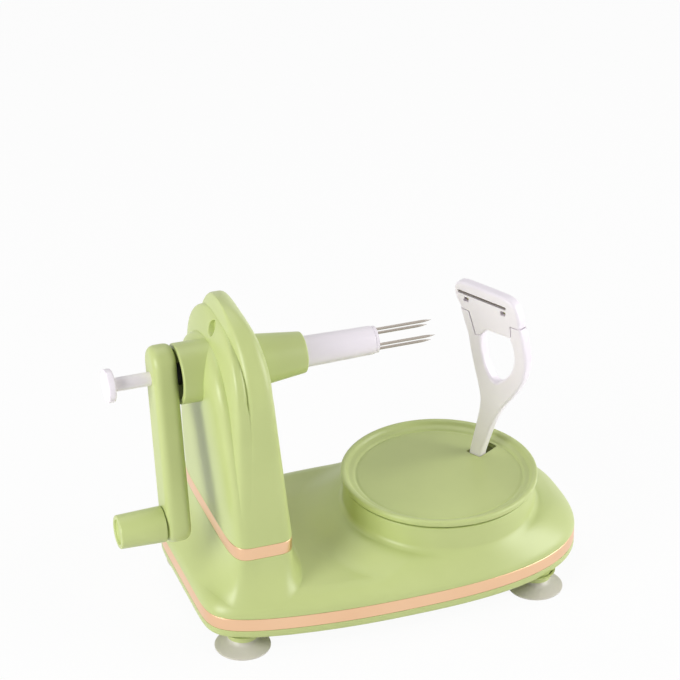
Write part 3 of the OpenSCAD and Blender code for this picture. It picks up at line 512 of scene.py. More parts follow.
# Column
# Two green mouldings, a shell and a cover, that enclose the gears. Seen from the crank they are three
# nested arches: the shell's crest, the cover, and a swelling round the hub, with soft valleys between.
shaft_low, shaft_high = corners("drive_shaft")
shaft_x = (shaft_low + shaft_high)[0] / 2
_, shell_high = corners("column_shell")
spindle_low, spindle_high = corners("spindle_shaft")
spindle_y, spindle_z = axis_y, (spindle_low + spindle_high)[2] / 2
arch_z, round_z, right_fold = 133.0, 138.0, 2.2
col_start = col_z + 0.6
# Each arch: its top, its crest, how far its left and right sides lean in, how much its half depth grows, how
# far it lies inside the shell at the foot, and the powers of its fold, its outline and its section. A side
# or depth below none goes the other way.
Arch = namedtuple("Arch", "top crest left_in right_in deeper inset fold outline section")
shell_arch = Arch(shell_high[2], shaft_x - 5.2, 5.2, 9.2, -4.75, 0.0, 1.7, 2.0, 4.0)
cover_arch = Arch(170.0, shaft_x - 4.5, 0.1, 22.5, -5.0, 0.15, 2.2, 2.3, 3.4)
panel_arch = Arch(157.0, shaft_x - 9.0, -6.4, 22.5, -13.7, 0.3, 2.2, 2.1, 3.4)


def section_power(z, arch):
    """Power of an arch's superellipse at height z: squarer at the foot, rounder from the spindle up."""
    return col_power + (arch.section - col_power) * np.clip((z - col_z) / (spindle_z - col_z), 0, 1)


def arch_section(z, arch):
    """Left side, right side, half depth and middle of an arch at height z. Up to the spindle the sides lean
    steadily, and the middle comes forward with the square of the rise; above it the sides close on the
    crest, and the depth closes on a superellipse."""
    top, crest, left_in, right_in, deeper, inset, fold, outline, _ = arch
    rise = np.clip((z - col_z) / (spindle_z - col_z), 0, 1)
    over = np.clip((z - round_z) / (top - round_z), 0, 1)
    close = (1 - np.clip((z - arch_z) / (top - arch_z), 0, 1) ** outline) ** (1 / outline)
    left = col_x - col_half_w + inset + (left_in - inset) * rise
    right = col_x + col_half_w - inset - right_in * rise
    left = crest + (left - crest) * (1 - over**fold) ** (1 / fold)
    right = crest + (right - crest) * (1 - over**right_fold) ** (1 / right_fold)
    return left, right, (col_half_d - inset + deeper * rise**2) * close, col_y - col_back / 2 * rise**2


def arch_points(arch, rows):
    """An arch as a closed surface: superellipse sections on levels that crowd towards its top."""
    levels = (col_start + (arch.top - col_start) * np.sin(np.linspace(0, np.pi / 2, rows)))[:, None]
    left, right, depth, middle = arch_section(levels, arch)
    power = section_power(levels, arch)
    turn = col_turns[None, :]
    x = (left + right) / 2 + (right - left) / 2 * signed_power(np.cos(turn), 2 / power)
    y = middle + depth * signed_power(np.sin(turn), 2 / power)
    return np.stack([x, y, np.broadcast_to(levels, x.shape)], -1)


def cover_left(y, z):
    """How far left the cover reaches at a point (y, z) of its face, on the section's superellipse."""
    left, right, depth, middle = arch_section(z, cover_arch)
    share = np.abs(y - middle) / np.maximum(depth, 1e-6)
    power = section_power(z, cover_arch)
    inside = np.clip(1 - share**power, 0, 1) ** (1 / power)
    return (left + right) / 2 - (right - left) / 2 * inside


foot_rows = column_rows(rounded([(1.2, col_z + 0.1), (0, col_z + 0.1), (0, col_start)], [0, 0.35, 0], 4))
points = np.concatenate([foot_rows[:-1], arch_points(shell_arch, 170)])
faces = grid_faces(len(points), len(col_turns))
piece("column", points, faces, "base", green, ["column_shell"])
points = arch_points(panel_arch, 140)
piece("hub_panel", points, grid_faces(len(points), len(col_turns)), "base", green)

well_r, well_y, well_z, well_sides = 3.9, axis_y - 0.5, 164.2, 72
points = arch_points(cover_arch, 170)
faces = grid_faces(len(points), len(col_turns))
middles = points.reshape(-1, 3)[faces].mean(1)
from_well = np.hypot(middles[:, 1] - well_y, middles[:, 2] - well_z)
at_well = (from_well < well_r + 0.9) & (middles[:, 0] < shaft_x)
piece("cover", points, faces[~at_well], "base", green, ["column_cover"])
# The screw's well, from a collar on the cover in to its floor: how far each ring lies from the well's axis,
# and how deep below the cover's face.
ring = np.arange(well_sides)[None, :] * 2 * np.pi / well_sides
reach = well_r + np.array([2.6, 1.8, 1.2, 0.6, 0.3, 0.15, 0.05, 0.0, 0.0, 0.0, -well_r])[:, None]
sunk = np.array([-0.02, -0.05, -0.05, -0.04, 0.0, 0.1, 0.3, 0.6, 3.0, 12.0, 12.0])[:, None]
y, z = well_y + reach * np.cos(ring), well_z + reach * np.sin(ring)
wide = np.maximum(reach, well_r)
x = cover_left(well_y + wide * np.cos(ring), well_z + wide * np.sin(ring)) + sunk
x[-1] = x[-2].max()
x[-2] = x[-1]
faces = grid_faces(len(reach), well_sides)[:, ::-1]
piece("screw_well", np.stack([x, y, z], -1), faces, "base", green)

# Hub and boss
# Round tubes moulded on the column's two halves: the hub carries the crank's bearing and ends in a
# recess, and the tapering boss on the other side carries the fork's bearing.
along_x = ((1, 0, 0), (0, 1, 0))
hub_x, boss_x = corners("column_cover")[0][0], shell_high[0]
hub_r, hub_in, hub_floor = 15.5, 12.7, hub_x + 9.0
boss_root_r, boss_end_r, boss_bore_r = 14.0, 10.5, 8.5


def on_spindle(profile, sides):
    """A profile of (radius, x) turned round the spindle's axis."""
    return lathe(profile, (0, spindle_y, spindle_z), *along_x, sides)


hub_profile = rounded(
    [(6.0, hub_floor), (hub_in, hub_floor), (hub_in, hub_x), (hub_r, hub_x), (hub_r, shaft_x - 2)],
    [0, 0.8, 0.5, 0.9, 0],
)
points, faces = on_spindle(hub_profile, 128)
piece("hub", points, faces, "base", green)
boss_profile = rounded(
    [(boss_root_r, shaft_x + 8), (boss_end_r, boss_x), (boss_bore_r, boss_x), (boss_bore_r, boss_x - 6)],
    [0, 1.4, 0.5, 0],
)
points, faces = on_spindle(boss_profile, 128)
piece("boss", points, faces, "base", green)

# Fork
# A white tube on the end of the spindle that carries four pointed steel needles, and a thin plate at
# its end that the push rod drives forward to strip the core.


def white_plastic(name):
    """Glossy white plastic with a lilac cast: faint clouding, and a fine moulded skin."""
    made, inputs, start = finish(name)
    cloud = start.noise(60.0, 3.0)
    skin_grain = start.noise(1500.0, 2.0)
    sockets = {
        "Base Color": cloud.blend(linear("F4ECF5"), linear("FAF4FA")),
        "Roughness": 0.26 + cloud * 0.10,
        "Normal": skin_grain.bump(0.06, 0.0001),
        "IOR": 1.5,
        "Coat Weight": 0.1,
        "Coat Roughness": 0.15,
    }
    start.fill(inputs, sockets)
    return made


white = white_plastic("white_plastic")
holder_low, holder_high = corners("fork_holder")
holder_r = (holder_high - holder_low)[2] / 2
plate_gap, shaft_bore, plate_bore = 0.06, 5.6, 3.6
holder_end = corners("ejector_plate")[0][0] - plate_gap
holder_profile = rounded(
    [
        (shaft_bore, holder_low[0]), (holder_r, holder_low[0]), (holder_r, boss_x),
        (holder_r - 0.7, holder_end), (plate_bore, holder_end), (plate_bore, holder_end - 5),
    ],
    [0, 0.3, 0, 0.8, 0.3, 0],
)
points, faces = on_spindle(holder_profile, 96)
piece("fork_tube", points, faces, "spindle", white, ["fork_holder"])


def bright_steel(name):
    """Drawn stainless steel: fine lines along the piece and small changes of polish."""
    made, inputs, start = finish(name)
    lines = start.noise(150.0, 3.0, (1.0, 30.0, 30.0))
    sockets = {
        "Base Color": lines.blend(linear("A89E94"), linear("B6AEA6")),
        "Metallic": 0.9,
        "Roughness": 0.16 + lines * 0.14,
        "Normal": lines.bump(0.04, 0.00004),
    }
    start.fill(inputs, sockets)
    return made


steel = bright_steel("bright_steel")
needle_low, needle_high = corners("fork_needles")
needle_r, needle_tip = 0.7, 4.2
needle_ring = (needle_high - needle_low)[2] / 2 - needle_r
needle_profile = rounded(
    [
        (0, needle_low[0]), (needle_r, needle_low[0]), (needle_r, needle_high[0] - needle_tip),
        (0.05, needle_high[0]), (0, needle_high[0]),
    ],
    [0, 0.1, 2.0, 0, 0],
)
points, faces = on_spindle(needle_profile, 24)
points = points.reshape(-1, 3)
places = needle_ring * np.array([(0, 0, -1), (0, 1, 0), (0, 0, 1), (0, -1, 0)], float)
needles = points[None] + places[:, None]
needle_faces = faces[None] + (np.arange(4) * len(points))[:, None, None]
piece("needles", needles, needle_faces.reshape(-1, 4), "spindle", steel, ["fork_needles"])

# Crank
# A thick green bar with softly rounded edges, fixed on the spindle's left end. At rest it hangs with
# its lower end a little to the front, where the knob turns on an axle.
crank_low, crank_high = corners("crank_arm")
crank_t = crank_high[0] - crank_low[0]
crank_half, crank_round, crank_len, crank_over = 10.0, 4.6, 77.0, 6.5
crank_lean = np.radians(12)
crank_wide = np.array([0, np.cos(crank_lean), -np.sin(crank_lean)])
crank_up = np.array([0, np.sin(crank_lean), np.cos(crank_lean)])
crank_origin = np.array([crank_low[0], spindle_y, spindle_z])


def bar_outline(inset, count=60):
    """A bar with round ends, drawn in by inset: a half circle over the spindle, and one below."""
    turn = np.linspace(0, np.pi, count)
    radius = crank_half - inset
    wide = np.concatenate([radius * np.cos(turn), -radius * np.cos(turn)], -1)
    up = np.concatenate([crank_over + radius * np.sin(turn), -crank_len - radius * np.sin(turn)], -1)
    return wide, up


bar_section = rounded(
    [(crank_half, 0), (0, 0), (0, crank_t), (crank_half, crank_t)], [0, crank_round, crank_round, 0], 12
)
wide, up = bar_outline(bar_section[:, 0][:, None])
points = (
    crank_origin + wide[..., None] * crank_wide + up[..., None] * crank_up
    + bar_section[:, 1][:, None, None] * np.array([1.0, 0, 0])
)
faces = grid_faces(len(points), points.shape[1])
piece("crank", points, faces, "spindle", green, ["crank_arm"])

knob_low, knob_high = corners("crank_knob")
knob_y, knob_z = (knob_low + knob_high)[1:] / 2
knob_r, knob_end_r, knob_recess_r, knob_floor = 9.3, 8.6, 6.3, knob_low[0] + 1.5
knob_profile = rounded(
    [
        (0, knob_floor), (knob_recess_r, knob_floor), (knob_recess_r + 0.2, knob_low[0]),
        (knob_end_r, knob_low[0]), (knob_r, knob_high[0]), (0, knob_high[0]),
    ],
    [0, 0.5, 0.5, 0.9, 0.6, 0],
)
points, faces = lathe(knob_profile, (0, knob_y, knob_z), *along_x, 96)
piece("knob", points, faces, "knob", green, ["crank_knob", "knob_cap"])

# Push rod
# A white plastic rod that slides through the hollow spindle, with a dished button on its outer end.
# Pressed by hand, it drives the ejector plate forward along the needles.
button_low, button_high = corners("push_button")
button_r = (button_high - button_low)[2] / 2
face_x, back_x, rod_end, rod_r = button_low[0], button_high[0], corners("push_rod")[1][0], 3.5
button_profile = rounded(
    [
        (0, face_x + 0.7), (button_r - 2.4, face_x + 0.6), (button_r - 1.2, face_x), (button_r, face_x),
        (button_r, back_x), (rod_r, back_x), (rod_r, rod_end), (0, rod_end),
    ],
    [0, 1.2, 0.8, 0.9, 0.9, 1.0, 0.2, 0],
)
points, faces = on_spindle(button_profile, 96)
piece("push_rod_and_button", points, faces, "ejector", white, ["push_rod", "push_button"])

# Turntable
# A round green dish that carries the arm round the fruit: a rolled rim, a small step and a groove
# inside it, and a flat floor with the arm's slot. Its ears and hub lie underneath.
rim_top, rim_under = table_high[2], 53.8
floor_z, under_z = rim_top - 3.2, rim_top - 5.4
dish_r = 42.4
floor_r = dish_r - 0.6
collar_in, collar_out, collar_end = 44.3, 46.3, under_z - 9
dish_profile = rounded(
    [
        (collar_in, under_z), (collar_in, collar_end), (collar_out, collar_end), (collar_out, rim_under),
        (table_r, rim_under), (table_r, rim_top), (48.9, rim_top), (47.4, 55.1), (44.8, 54.7),
        (43.7, floor_z - 0.45), (dish_r, floor_z), (floor_r, floor_z),
    ],
    [0, 0.5, 0.5, 0.5, 1.0, 1.7, 1.6, 0.9, 0.9, 0.8, 0.5, 0],
)
points, faces = lathe(dish_profile, (table_x, axis_y, 0), sides=256)
piece("dish", points, faces, "turntable", green, ["turntable_disc"])

# The arm's own frame at rest: out from the turntable's axis, along the blade, and up.
arm_turn = np.radians(30)
arm_out = np.array([np.cos(arm_turn), np.sin(arm_turn), 0])
arm_side = np.array([np.sin(arm_turn), -np.cos(arm_turn), 0])
upright = np.array([0, 0, 1.0])
table_middle = np.array([table_x, axis_y, 0])
arm_in, arm_t = 27.5, 7.5
stem_left, stem_right = -1.95, 5.55


def in_arm_frame(out, side, up):
    """Points from their distance out from the turntable's axis, along the blade, and up."""
    out, side, up = np.broadcast_arrays(out, side, up)
    return table_middle + out[..., None] * arm_out + side[..., None] * arm_side + up[..., None] * upright


look = np.arange(240) * 2 * np.pi / 240
ray = np.stack([np.cos(look), np.sin(look)], -1)


def oblong(half, power):
    """A superellipse seen from its middle: each ray over a root of the sum of its parts' powers, where each
    part is first divided by the half width on its axis."""
    return ray * np.sum((np.abs(ray) / half) ** power, -1, keepdims=True) ** (-1 / power)


# The dish's floor: underneath from a circle in to the slot's square-cornered edge, up the slot's wall,
# and out again on top.
slot_power = 14
slot_half = np.array([8.15, (stem_right - stem_left) / 2 + 0.9])
slot_middle = np.array([arm_in - 0.4 + slot_half[0], (stem_left + stem_right) / 2 - 0.5])
slot_edge = slot_middle + oblong(slot_half, slot_power)
along = ray @ slot_middle
circle = slot_middle + ray * (np.sqrt(along**2 + floor_r**2 - slot_middle @ slot_middle) - along)[:, None]
share = np.array([1, 0.5, 0.2, 0, 0, 0, 0.02, 0.06, 0.15, 0.3, 0.5, 0.75, 1])[:, None, None]
level = np.array([under_z] * 4 + [floor_z - 0.5, floor_z - 0.12] + [floor_z] * 7)[:, None]
flat = slot_edge + share * (circle - slot_edge)
points = in_arm_frame(flat[..., 0], flat[..., 1], level)
piece("dish_floor", points, grid_faces(len(points), len(look)), "turntable", green)

hub_end = corners("turntable_gear")[0][2] - 0.4
hub_profile = rounded([(4.1, hub_end), (8.0, hub_end), (8.0, under_z), (10.5, under_z)], [0, 0.4, 2.0, 0])
points, faces = lathe(hub_profile, (table_x, axis_y, 0))
piece("dish_hub", points, faces, "turntable", green)

# Two ears hold the pivot pin, one close beside the arm's foot, the other beyond the spring.
pivot_out, pivot_z, ear_r, ear_t = arm_in + arm_t / 2, 46.0, 5.0, 3.0
side_gap, spring_room = 0.4, 6.5
round_part = np.linspace(0, -np.pi, 40)
ear_out = np.concatenate([[ear_r], ear_r * np.cos(round_part), [-ear_r]])
ear_up = np.concatenate([[under_z + 0.5], pivot_z + ear_r * np.sin(round_part), [under_z + 0.5]])
ear_rows = rounded([(ear_r, 0), (0, 0), (0, ear_t), (ear_r, ear_t)], [0, 0.5, 0.5, 0], 4)
narrow = 1 - ear_rows[:, 0][:, None] / ear_r
up = np.where(ear_up > under_z, ear_up, pivot_z + (ear_up - pivot_z) * narrow)
faces = grid_faces(len(ear_rows), len(ear_out))[:, ::-1]
for name, side in (("ear_right", stem_right + side_gap), ("ear_left", stem_left - spring_room - ear_t)):
    points = in_arm_frame(pivot_out + ear_out * narrow, side + ear_rows[:, 1][:, None], up)
    piece(name, points, faces, "turntable", green)

# Arm spring
# A torsion spring of hard steel wire, wound round the pivot pin beside the arm's foot. It pushes the
# blade against the fruit.
wire_r, wire_sides, coil_r, coil_turns = 0.35, 12, 2.03, 4


def capped_faces(rows, columns):
    """Quads of a grid that joins up round its columns, and one face over its first and over its last row."""
    first, last = range(columns), range((rows - 1) * columns, rows * columns)
    return [*grid_faces(rows, columns).tolist(), list(first)[::-1], list(last)]


coil = np.linspace(0, coil_turns * 2 * np.pi, coil_turns * 24 + 1)[:, None]
wire = -np.arange(wire_sides)[None, :] * 2 * np.pi / wire_sides
reach = coil_r + wire_r * np.cos(wire)
pitch = (spring_room - 2 * wire_r - 2 * side_gap) / coil_turns
points = in_arm_frame(
    pivot_out + reach * np.cos(coil),
    stem_left - spring_room + side_gap + wire_r + pitch * coil / (2 * np.pi) + wire_r * np.sin(wire),
    pivot_z + reach * np.sin(coil),
)
faces = capped_faces(len(coil), wire_sides)
piece("spring_wire", points, faces, "turntable", steel, ["arm_spring"])

# Peeler arm
# One white moulding: a flat stem that widens into the two limbs of a finger loop. It hinges on the
# pin under the turntable, and its limbs end in stepped joints for the head.


def spline(points, steps=24):
    """A smooth curve through points: on each span a cubic that leaves and arrives along the line
    between the points on either side."""
    points = np.array(points, float)
    padded = np.concatenate([points[:1], points, points[-1:]])
    a, b, c, d = (padded[i : len(padded) - 3 + i, None] for i in range(4))
    t = np.linspace(0, 1, steps, endpoint=False)[None, :, None]
    curve = 2 * b + (c - a) * t + (2 * a - 5 * b + 4 * c - d) * t**2 + (3 * b - a - 3 * c + d) * t**3
    return np.concatenate([curve.reshape(-1, 2) / 2, points[-1:]])


def even_line(points, spacing=0.45):
    """An open line resampled at even spacing, with its two ends kept."""
    points = np.array(points, float)
    length = np.concatenate([[0], np.cumsum(np.linalg.norm(np.diff(points, axis=0), axis=1))])
    at = np.linspace(0, length[-1], int(length[-1] / spacing) + 1)
    return np.stack([np.interp(at, length, points[:, i]) for i in range(2)], -1)


def plate_rim(edges, soft, joint_break):
    """Points round a plate, the way inwards in which its edge is rounded at each, and how much of the full
    rounding it has. The edges are lines, free and joint by turns. A free edge is rounded square to itself,
    and at its ends along the joint, whose own points begin a little beyond that; a joint has only a fine
    break."""
    beyond = 0.15
    lines = [even_line(edge) for edge in edges]
    ways = []
    for line in lines:
        along = np.gradient(line, axis=0)
        along /= np.linalg.norm(along, axis=1, keepdims=True)
        ways.append(np.stack([-along[:, 1], along[:, 0]], -1))
    for i in range(0, len(lines), 2):
        before, after = lines[i - 1], lines[i + 1]
        for end, joint in ((0, before[-2] - before[-1]), (-1, after[1] - after[0])):
            ways[i][end] = joint / (joint @ ways[i][end])
    rim = []
    for i, (line, way) in enumerate(zip(lines, ways)):
        size, share = soft, 1.0
        if i % 2:
            size, share = joint_break, joint_break / soft
            from_start, from_end = (np.linalg.norm(line - line[end], axis=1) for end in (0, -1))
            start_room = soft * np.linalg.norm(ways[i - 1][-1])
            end_room = soft * np.linalg.norm(ways[(i + 1) % len(ways)][0])
            inner = (from_start > start_room + beyond) & (from_end > end_room + beyond)
            line, way = line[inner], way[inner]
        rim.append(np.concatenate([line, way * size, np.full((len(line), 1), share)], 1))
    rim = np.concatenate(rim)
    return rim[:, :2], rim[:, 2:4], rim[:, 4]


def plate_wall(outline, inward, share, low, high, deep, steps=7):
    """Wall of a plate between two distances from the turntable's axis: at each point of the outline a
    quarter of an ellipse, the straight wall, and a second quarter."""
    turn = np.linspace(0, np.pi / 2, steps)[:, None]
    inset = np.concatenate([1 - np.sin(turn), 1 - np.cos(turn)])
    depth = np.concatenate(
        [high - deep * share * (1 - np.cos(turn)), low + deep * share * (1 - np.sin(turn))]
    )
    return outline + inset[..., None] * inward, depth


right_joint = [(29.2, 138.3), (22.9, 137.9), (23.7, 132.2), (22.5, 130.6)]
left_joint = [(3.9, 126.8), (0.4, 125.7), (-4.3, 137.8), (-9.9, 138.2)]
arm_right = [
    (stem_right, pivot_z), (stem_right, 54), (10.4, 70), (14.2, 80), (19.3, 89), (25.0, 97), (29.0, 103.6),
    (32.2, 111), (33.4, 119), (32.7, 126), (31.0, 132.5), right_joint[0],
]
arm_hole = [
    right_joint[-1], (24.3, 127), (25.6, 120.5), (25.1, 115.8), (23.8, 111.7), (21.3, 107.8), (18.1, 104.6),
    (14.8, 102.2), (12.0, 103.2), (9.3, 106.6), (6.8, 111.4), (5.1, 117), (4.2, 122), left_joint[0],
]
arm_left = [
    left_joint[-1], (-6.9, 130.1), (-4.8, 124.9), (-2.6, 115.5), (0.2, 105.3), (2.6, 97.5), (4.1, 91),
    (4.2, 85.5), (2.8, 76.5), (stem_left, 54), (stem_left, pivot_z),
]
foot_line = [(stem_left, pivot_z), (stem_right, pivot_z)]
limb_t, limb_soft, arm_break = 6.2, 1.5, 0.25
edges = [spline(arm_right), right_joint, spline(arm_hole), left_joint, spline(arm_left), foot_line]
rim = plate_rim(edges, limb_soft, arm_break)
flat, depth = plate_wall(*rim, arm_in, arm_in + limb_t, limb_soft)
points = in_arm_frame(depth, flat[..., 0], flat[..., 1])
faces = capped_faces(len(points), points.shape[1])
arm = piece("arm_limbs", points, faces, "arm", white, ["peeler_arm"])


def even_caps(made):
    """Weights a plate's normals by the area of its faces, so that its flat sides are shaded flat."""
    made.modifiers.new("even_caps", "WEIGHTED_NORMAL").keep_sharp = True


even_caps(arm)
foot_profile = rounded(
    [(1.6, stem_left), (4.5, stem_left), (4.5, stem_right), (1.6, stem_right)], [0, 0.4, 0.4, 0], 4
)
points, faces = lathe(foot_profile, in_arm_frame(pivot_out, 0.0, pivot_z), arm_side, upright)
piece("arm_foot", points, faces, "arm", white)

# Blade head
# A white plate that clips on the arm's two limbs and holds the blade: a narrow slit lets the peel
# through, and two small pockets below it show the blade's pins.
head_in, head_out = arm_in, arm_in + limb_t
joint_gap, head_break = 0.45, 0.2
right_joint = np.add(right_joint, (-joint_gap, joint_gap)).tolist()
left_joint = np.add(left_joint, (joint_gap, joint_gap)).tolist()
head_top = [
    right_joint[0], (28.2, 142), (27.2, 145.6), (25.9, 148.8), (24.0, 151), (21.2, 152.7), (16, 153.4),
    (0, 153.4), (-9.5, 153.2), (-12.8, 151.8), (-14, 149), (-13.6, 145.6), (-12.2, 142.6), left_joint[-1],
]
head_hole = [left_joint[0], (6.9, 130.2), (9, 130.8), (14, 130.9), (19.5, 131.1), right_joint[-1]]
edges = [spline(head_top), left_joint[::-1], spline(head_hole), right_joint[::-1]]
rim = plate_rim(edges, limb_soft, head_break)
outline = rim[0]
flat, depth = plate_wall(*rim, head_in, head_out, limb_soft)
# Both faces run in straight lines from the rim to the slit's edge, whose ends are round.
slit_z, slit_half, slit_ends = 147.6, 0.85, (-10.6, 18.9)
foot = np.stack([np.clip(outline[:, 0], *slit_ends), np.full(len(outline), slit_z)], -1)
away = outline - foot
away /= np.linalg.norm(away, axis=1, keepdims=True)
slit = foot + slit_half * away
share = np.linspace(0, 1, 34)[1:, None, None]
front = flat[-1] + share * (slit - flat[-1])
back = flat[0] + share[::-1] * (slit - flat[0])
flat = np.concatenate([flat, front, back, flat[:1]])
even = np.ones((len(share), len(outline)))
depth = np.concatenate([depth, head_in * even, head_out * even, depth[:1]])
points = in_arm_frame(depth, flat[..., 0], flat[..., 1])
faces = grid_faces(len(points), len(outline))
pin_places = [(side, slit_z - 3.3) for side in (-6.0, 17.9)]
pocket_half, pocket_power, pocket_rim, near_face = np.array([1.7, 1.25]), 4, 0.3, 0.02
middle_side = flat.reshape(-1, 2)[faces].mean(1)
middle_out = depth.reshape(-1)[faces].mean(1)
in_pocket = np.zeros(len(faces), bool)
for place in pin_places:
    in_pocket |= np.sum((np.abs(middle_side - place) / (pocket_half + pocket_rim)) ** pocket_power, 1) < 1
in_pocket &= np.abs(middle_out - head_in) < near_face
head = piece("head_plate", points, faces[~in_pocket], "arm", white, ["blade_head"])
even_caps(head)

# A pocket's rings, from its collar on the face in to its floor: their sizes, and how deep they lie.
edge = oblong(pocket_half, pocket_power)
size = np.array([1.75, 1.3, 1.06, 1.0, 1.0, 1.0, 0.0])[:, None]
sunk = np.array([-0.01, -0.01, 0.0, 0.08, 0.4, 3.2, 3.2])[:, None]
for name, place in zip(("pocket_left", "pocket_right"), pin_places):
    points = in_arm_frame(head_in + sunk, place[0] + size * edge[:, 0], place[1] + size * edge[:, 1])
    piece(name, points, grid_faces(len(size), len(look)), "arm", white)

pin_r, pin_sunk, pin_end = 0.9, 1.2, 3.4
pin_profile = rounded([(pin_r, pin_end), (pin_r, pin_sunk), (0, pin_sunk)], [0, 0.3, 0], 4)
pin_points, pin_faces = lathe(pin_profile, (0, 0, 0), arm_out, upright, 24)
pins = [pin_points.reshape(-1, 3) + in_arm_frame(head_in, *place) for place in pin_places]
pin_faces = np.concatenate([pin_faces, pin_faces + len(pins[0])])[:, ::-1]
piece("pins", np.concatenate(pins), pin_faces, "arm", steel, ["blade_pins"])

# Blade
# A narrow strip of ground steel across the slit, with a bevelled cutting edge. It leans a little, so
# that the peel passes under it.
blade_lean, blade_proud, blade_rise = np.radians(8), 0.2, 0.25
blade_section = np.array(
    [(0, 0.12), (0, 0.05), (1.1, 0), (4.9, 0), (5.0, 0.1), (5.0, 0.4), (4.9, 0.5), (1.1, 0.5)]
)
blade_ends = np.array([-12.05, -11.9, 19.9, 20.05])[:, None]
shrink = np.array([0.6, 1, 1, 0.6])[:, None]
centre = blade_section.mean(0)
section = centre + (blade_section[None] - centre) * shrink[..., None]
out = section[..., 0] * np.cos(blade_lean) + section[..., 1] * np.sin(blade_lean)
up = section[..., 1] * np.cos(blade_lean) - section[..., 0] * np.sin(blade_lean)
points = in_arm_frame(head_in - blade_proud + out, blade_ends, slit_z + blade_rise + up)
faces = capped_faces(len(blade_ends), len(blade_section))
piece("blade", points, faces, "arm", steel, ["peeler_blade"])

# Gears and fasteners
# Pale acetal gears, and steel shafts, screws and pins inside the column and the base. The bushes and the
# spindle shaft are black as painted shade: a dark stand-in for the deep shade in the hub's recess behind the
# crank. With the white ejector plate and the green bottom plate, they stay as they were packed.


def acetal(name, dark, light):
    """Gear plastic between two colours: slightly waxy, with faint flow marks and a fine machined grain."""
    made, inputs, start = finish(name)
    flow = start.noise(45.0, 4.0)
    grain = start.noise(1800.0, 2.0)
    sockets = {
        "Base Color": flow.blend(linear(dark), linear(light)),
        "Roughness": 0.34 + flow * 0.14,
        "Normal": grain.bump(0.08, 0.0001),
        "IOR": 1.48,
    }
    start.fill(inputs, sockets)
    return made


waxy = acetal("acetal", "DEDBD0", "ECEAE2")
# Painted shade: this black on the bushes and the spindle shaft darkens the hub's recess round the crank,
# where only shade falls.
painted_shade_black = acetal("painted_shade_acetal", "131311", "1D1D1A")
inner = {
    "hub_bush": painted_shade_black, "boss_bush": painted_shade_black, "spindle_shaft": painted_shade_black, "spindle_pinion": waxy, "crown_gear": waxy,
    "shaft_pinion": waxy, "idler_gear": waxy, "turntable_gear": waxy, "ejector_plate": white,
    "base_bottom_plate": green, "column_screw": steel, "base_screws": steel, "idler_axle": steel,
    "knob_axle": steel, "drive_shaft": steel, "turntable_bolt": steel, "arm_pivot_pin": steel,
}
for name, surface in inner.items():
    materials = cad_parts[name].data.materials
    materials.clear()
    materials.append(surface)

# Studio
# A white sweep with soft light from a large window in front on the right, a smaller fill from the left
# and one lamp overhead, and a camera at the photograph's angle.
floor_half, floor_far, sweep_r, sweep_top = 3.0, 2.2, 0.8, 3.0
run = np.linspace(0, np.pi / 2, 24)
sweep_y = np.concatenate([[-floor_half], floor_far + sweep_r * np.sin(run), [floor_far + sweep_r]])
sweep_z = np.concatenate([[0], sweep_r * (1 - np.cos(run)), [sweep_top]])
sides = np.array([-floor_half, floor_half])
points = np.stack(np.broadcast_arrays(sides[None, :], sweep_y[:, None], sweep_z[:, None]), -1)
mesh = bpy.data.meshes.new("studio_floor")
mesh.from_pydata(points.reshape(-1, 3).tolist(), [], grid_faces(len(sweep_y), 2, False).tolist())
mesh.polygons.foreach_set("use_smooth", np.ones(len(mesh.polygons), bool))
floor = bpy.data.objects.new("studio_floor", mesh)
bpy.context.scene.collection.objects.link(floor)


def seen(start):
    """One for a ray from the camera, in a reflection or through a clear piece, and none for soft light."""
    path = start.tree.nodes.new("ShaderNodeLightPath").outputs
    kinds = ("Is Camera Ray", "Is Glossy Ray", "Is Transmission Ray")
    camera, glossy, clear = (Value(start.tree, path[kind]) for kind in kinds)
    return (camera + glossy + clear).math("MINIMUM", 1.0)


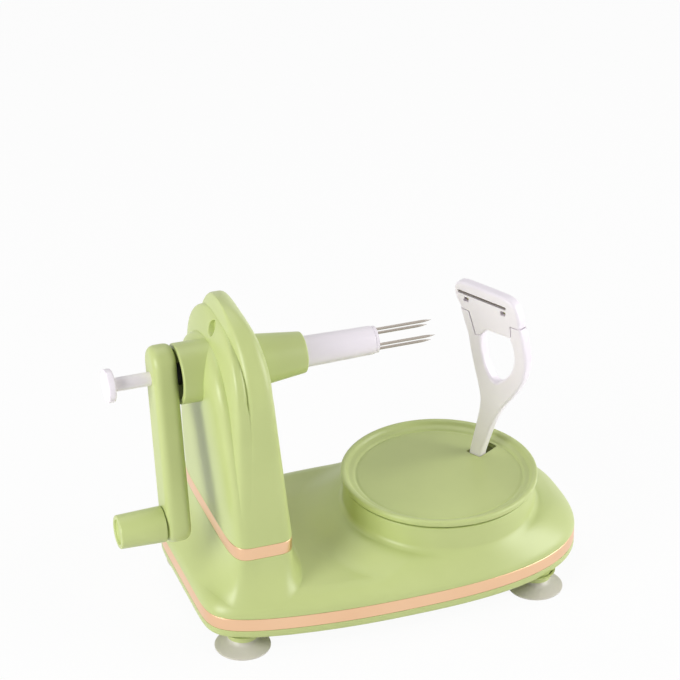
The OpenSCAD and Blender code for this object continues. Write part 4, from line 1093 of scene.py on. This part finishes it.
paper_glow, sky_light = 0.94, 0.2
paper, inputs, start = finish("white_paper")
start.fill(inputs, {"Base Color": (0.86, 0.86, 0.86, 1), "Roughness": 0.9, "Specular IOR Level": 0.1})
glow = start.node("ShaderNodeEmission", {}, {"Color": (1, 1, 1, 1), "Strength": 1.0})
lit = Value(start.tree, start.tree.nodes["Principled BSDF"].outputs[0])
shown = start.node("ShaderNodeMixShader", {}, {0: seen(start) * paper_glow, 1: lit, 2: glow})
start.fill(start.tree.nodes["Material Output"].inputs, {"Surface": shown})
mesh.materials.append(paper)

scene = bpy.context.scene
scene.world = bpy.data.worlds.new("studio")
scene.world.use_nodes = True
sky = Value(scene.world.node_tree)
sky_level = sky_light + seen(sky) * (1 - sky_light)
sky.fill(sky.tree.nodes["Background"].inputs, {"Color": (1, 1, 1, 1), "Strength": sky_level})
light_aim = Vector((0, 0, 0.09))


def softbox(name, place, size, power):
    """A square area lamp at a place, turned towards the middle of the object."""
    lamp = bpy.data.lights.new(name, "AREA")
    lamp.size, lamp.energy = size, power
    made = bpy.data.objects.new(name, lamp)
    made.location = place
    made.rotation_euler = (light_aim - Vector(place)).to_track_quat("-Z", "Y").to_euler()
    scene.collection.objects.link(made)


softbox("window", (1.15, -0.5, 0.5), 0.9, 13.4)
softbox("fill", (-1.05, -0.4, 0.5), 0.6, 9.8)
softbox("top", (-0.1, 0.45, 1.2), 0.8, 3.6)

turn, rise = np.radians(-19.55), np.radians(29.4)
target, away = np.array([-2.0, -5.2, 144.61]) * MM, 1.52368
sensor, focal_pixels, frame_pixels = 36.0, 3030, 680
back = np.array([np.sin(turn) * np.cos(rise), -np.cos(turn) * np.cos(rise), np.sin(rise)])
lens = bpy.data.cameras.new("camera")
lens.sensor_width = sensor
lens.lens = sensor * focal_pixels / frame_pixels
lens.clip_end = 20.0
camera = bpy.data.objects.new("camera", lens)
camera.location = target + back * away
camera.rotation_euler = Vector(-back).to_track_quat("-Z", "Y").to_euler()
scene.collection.objects.link(camera)
scene.camera = camera
scene.view_settings.view_transform = "Standard"
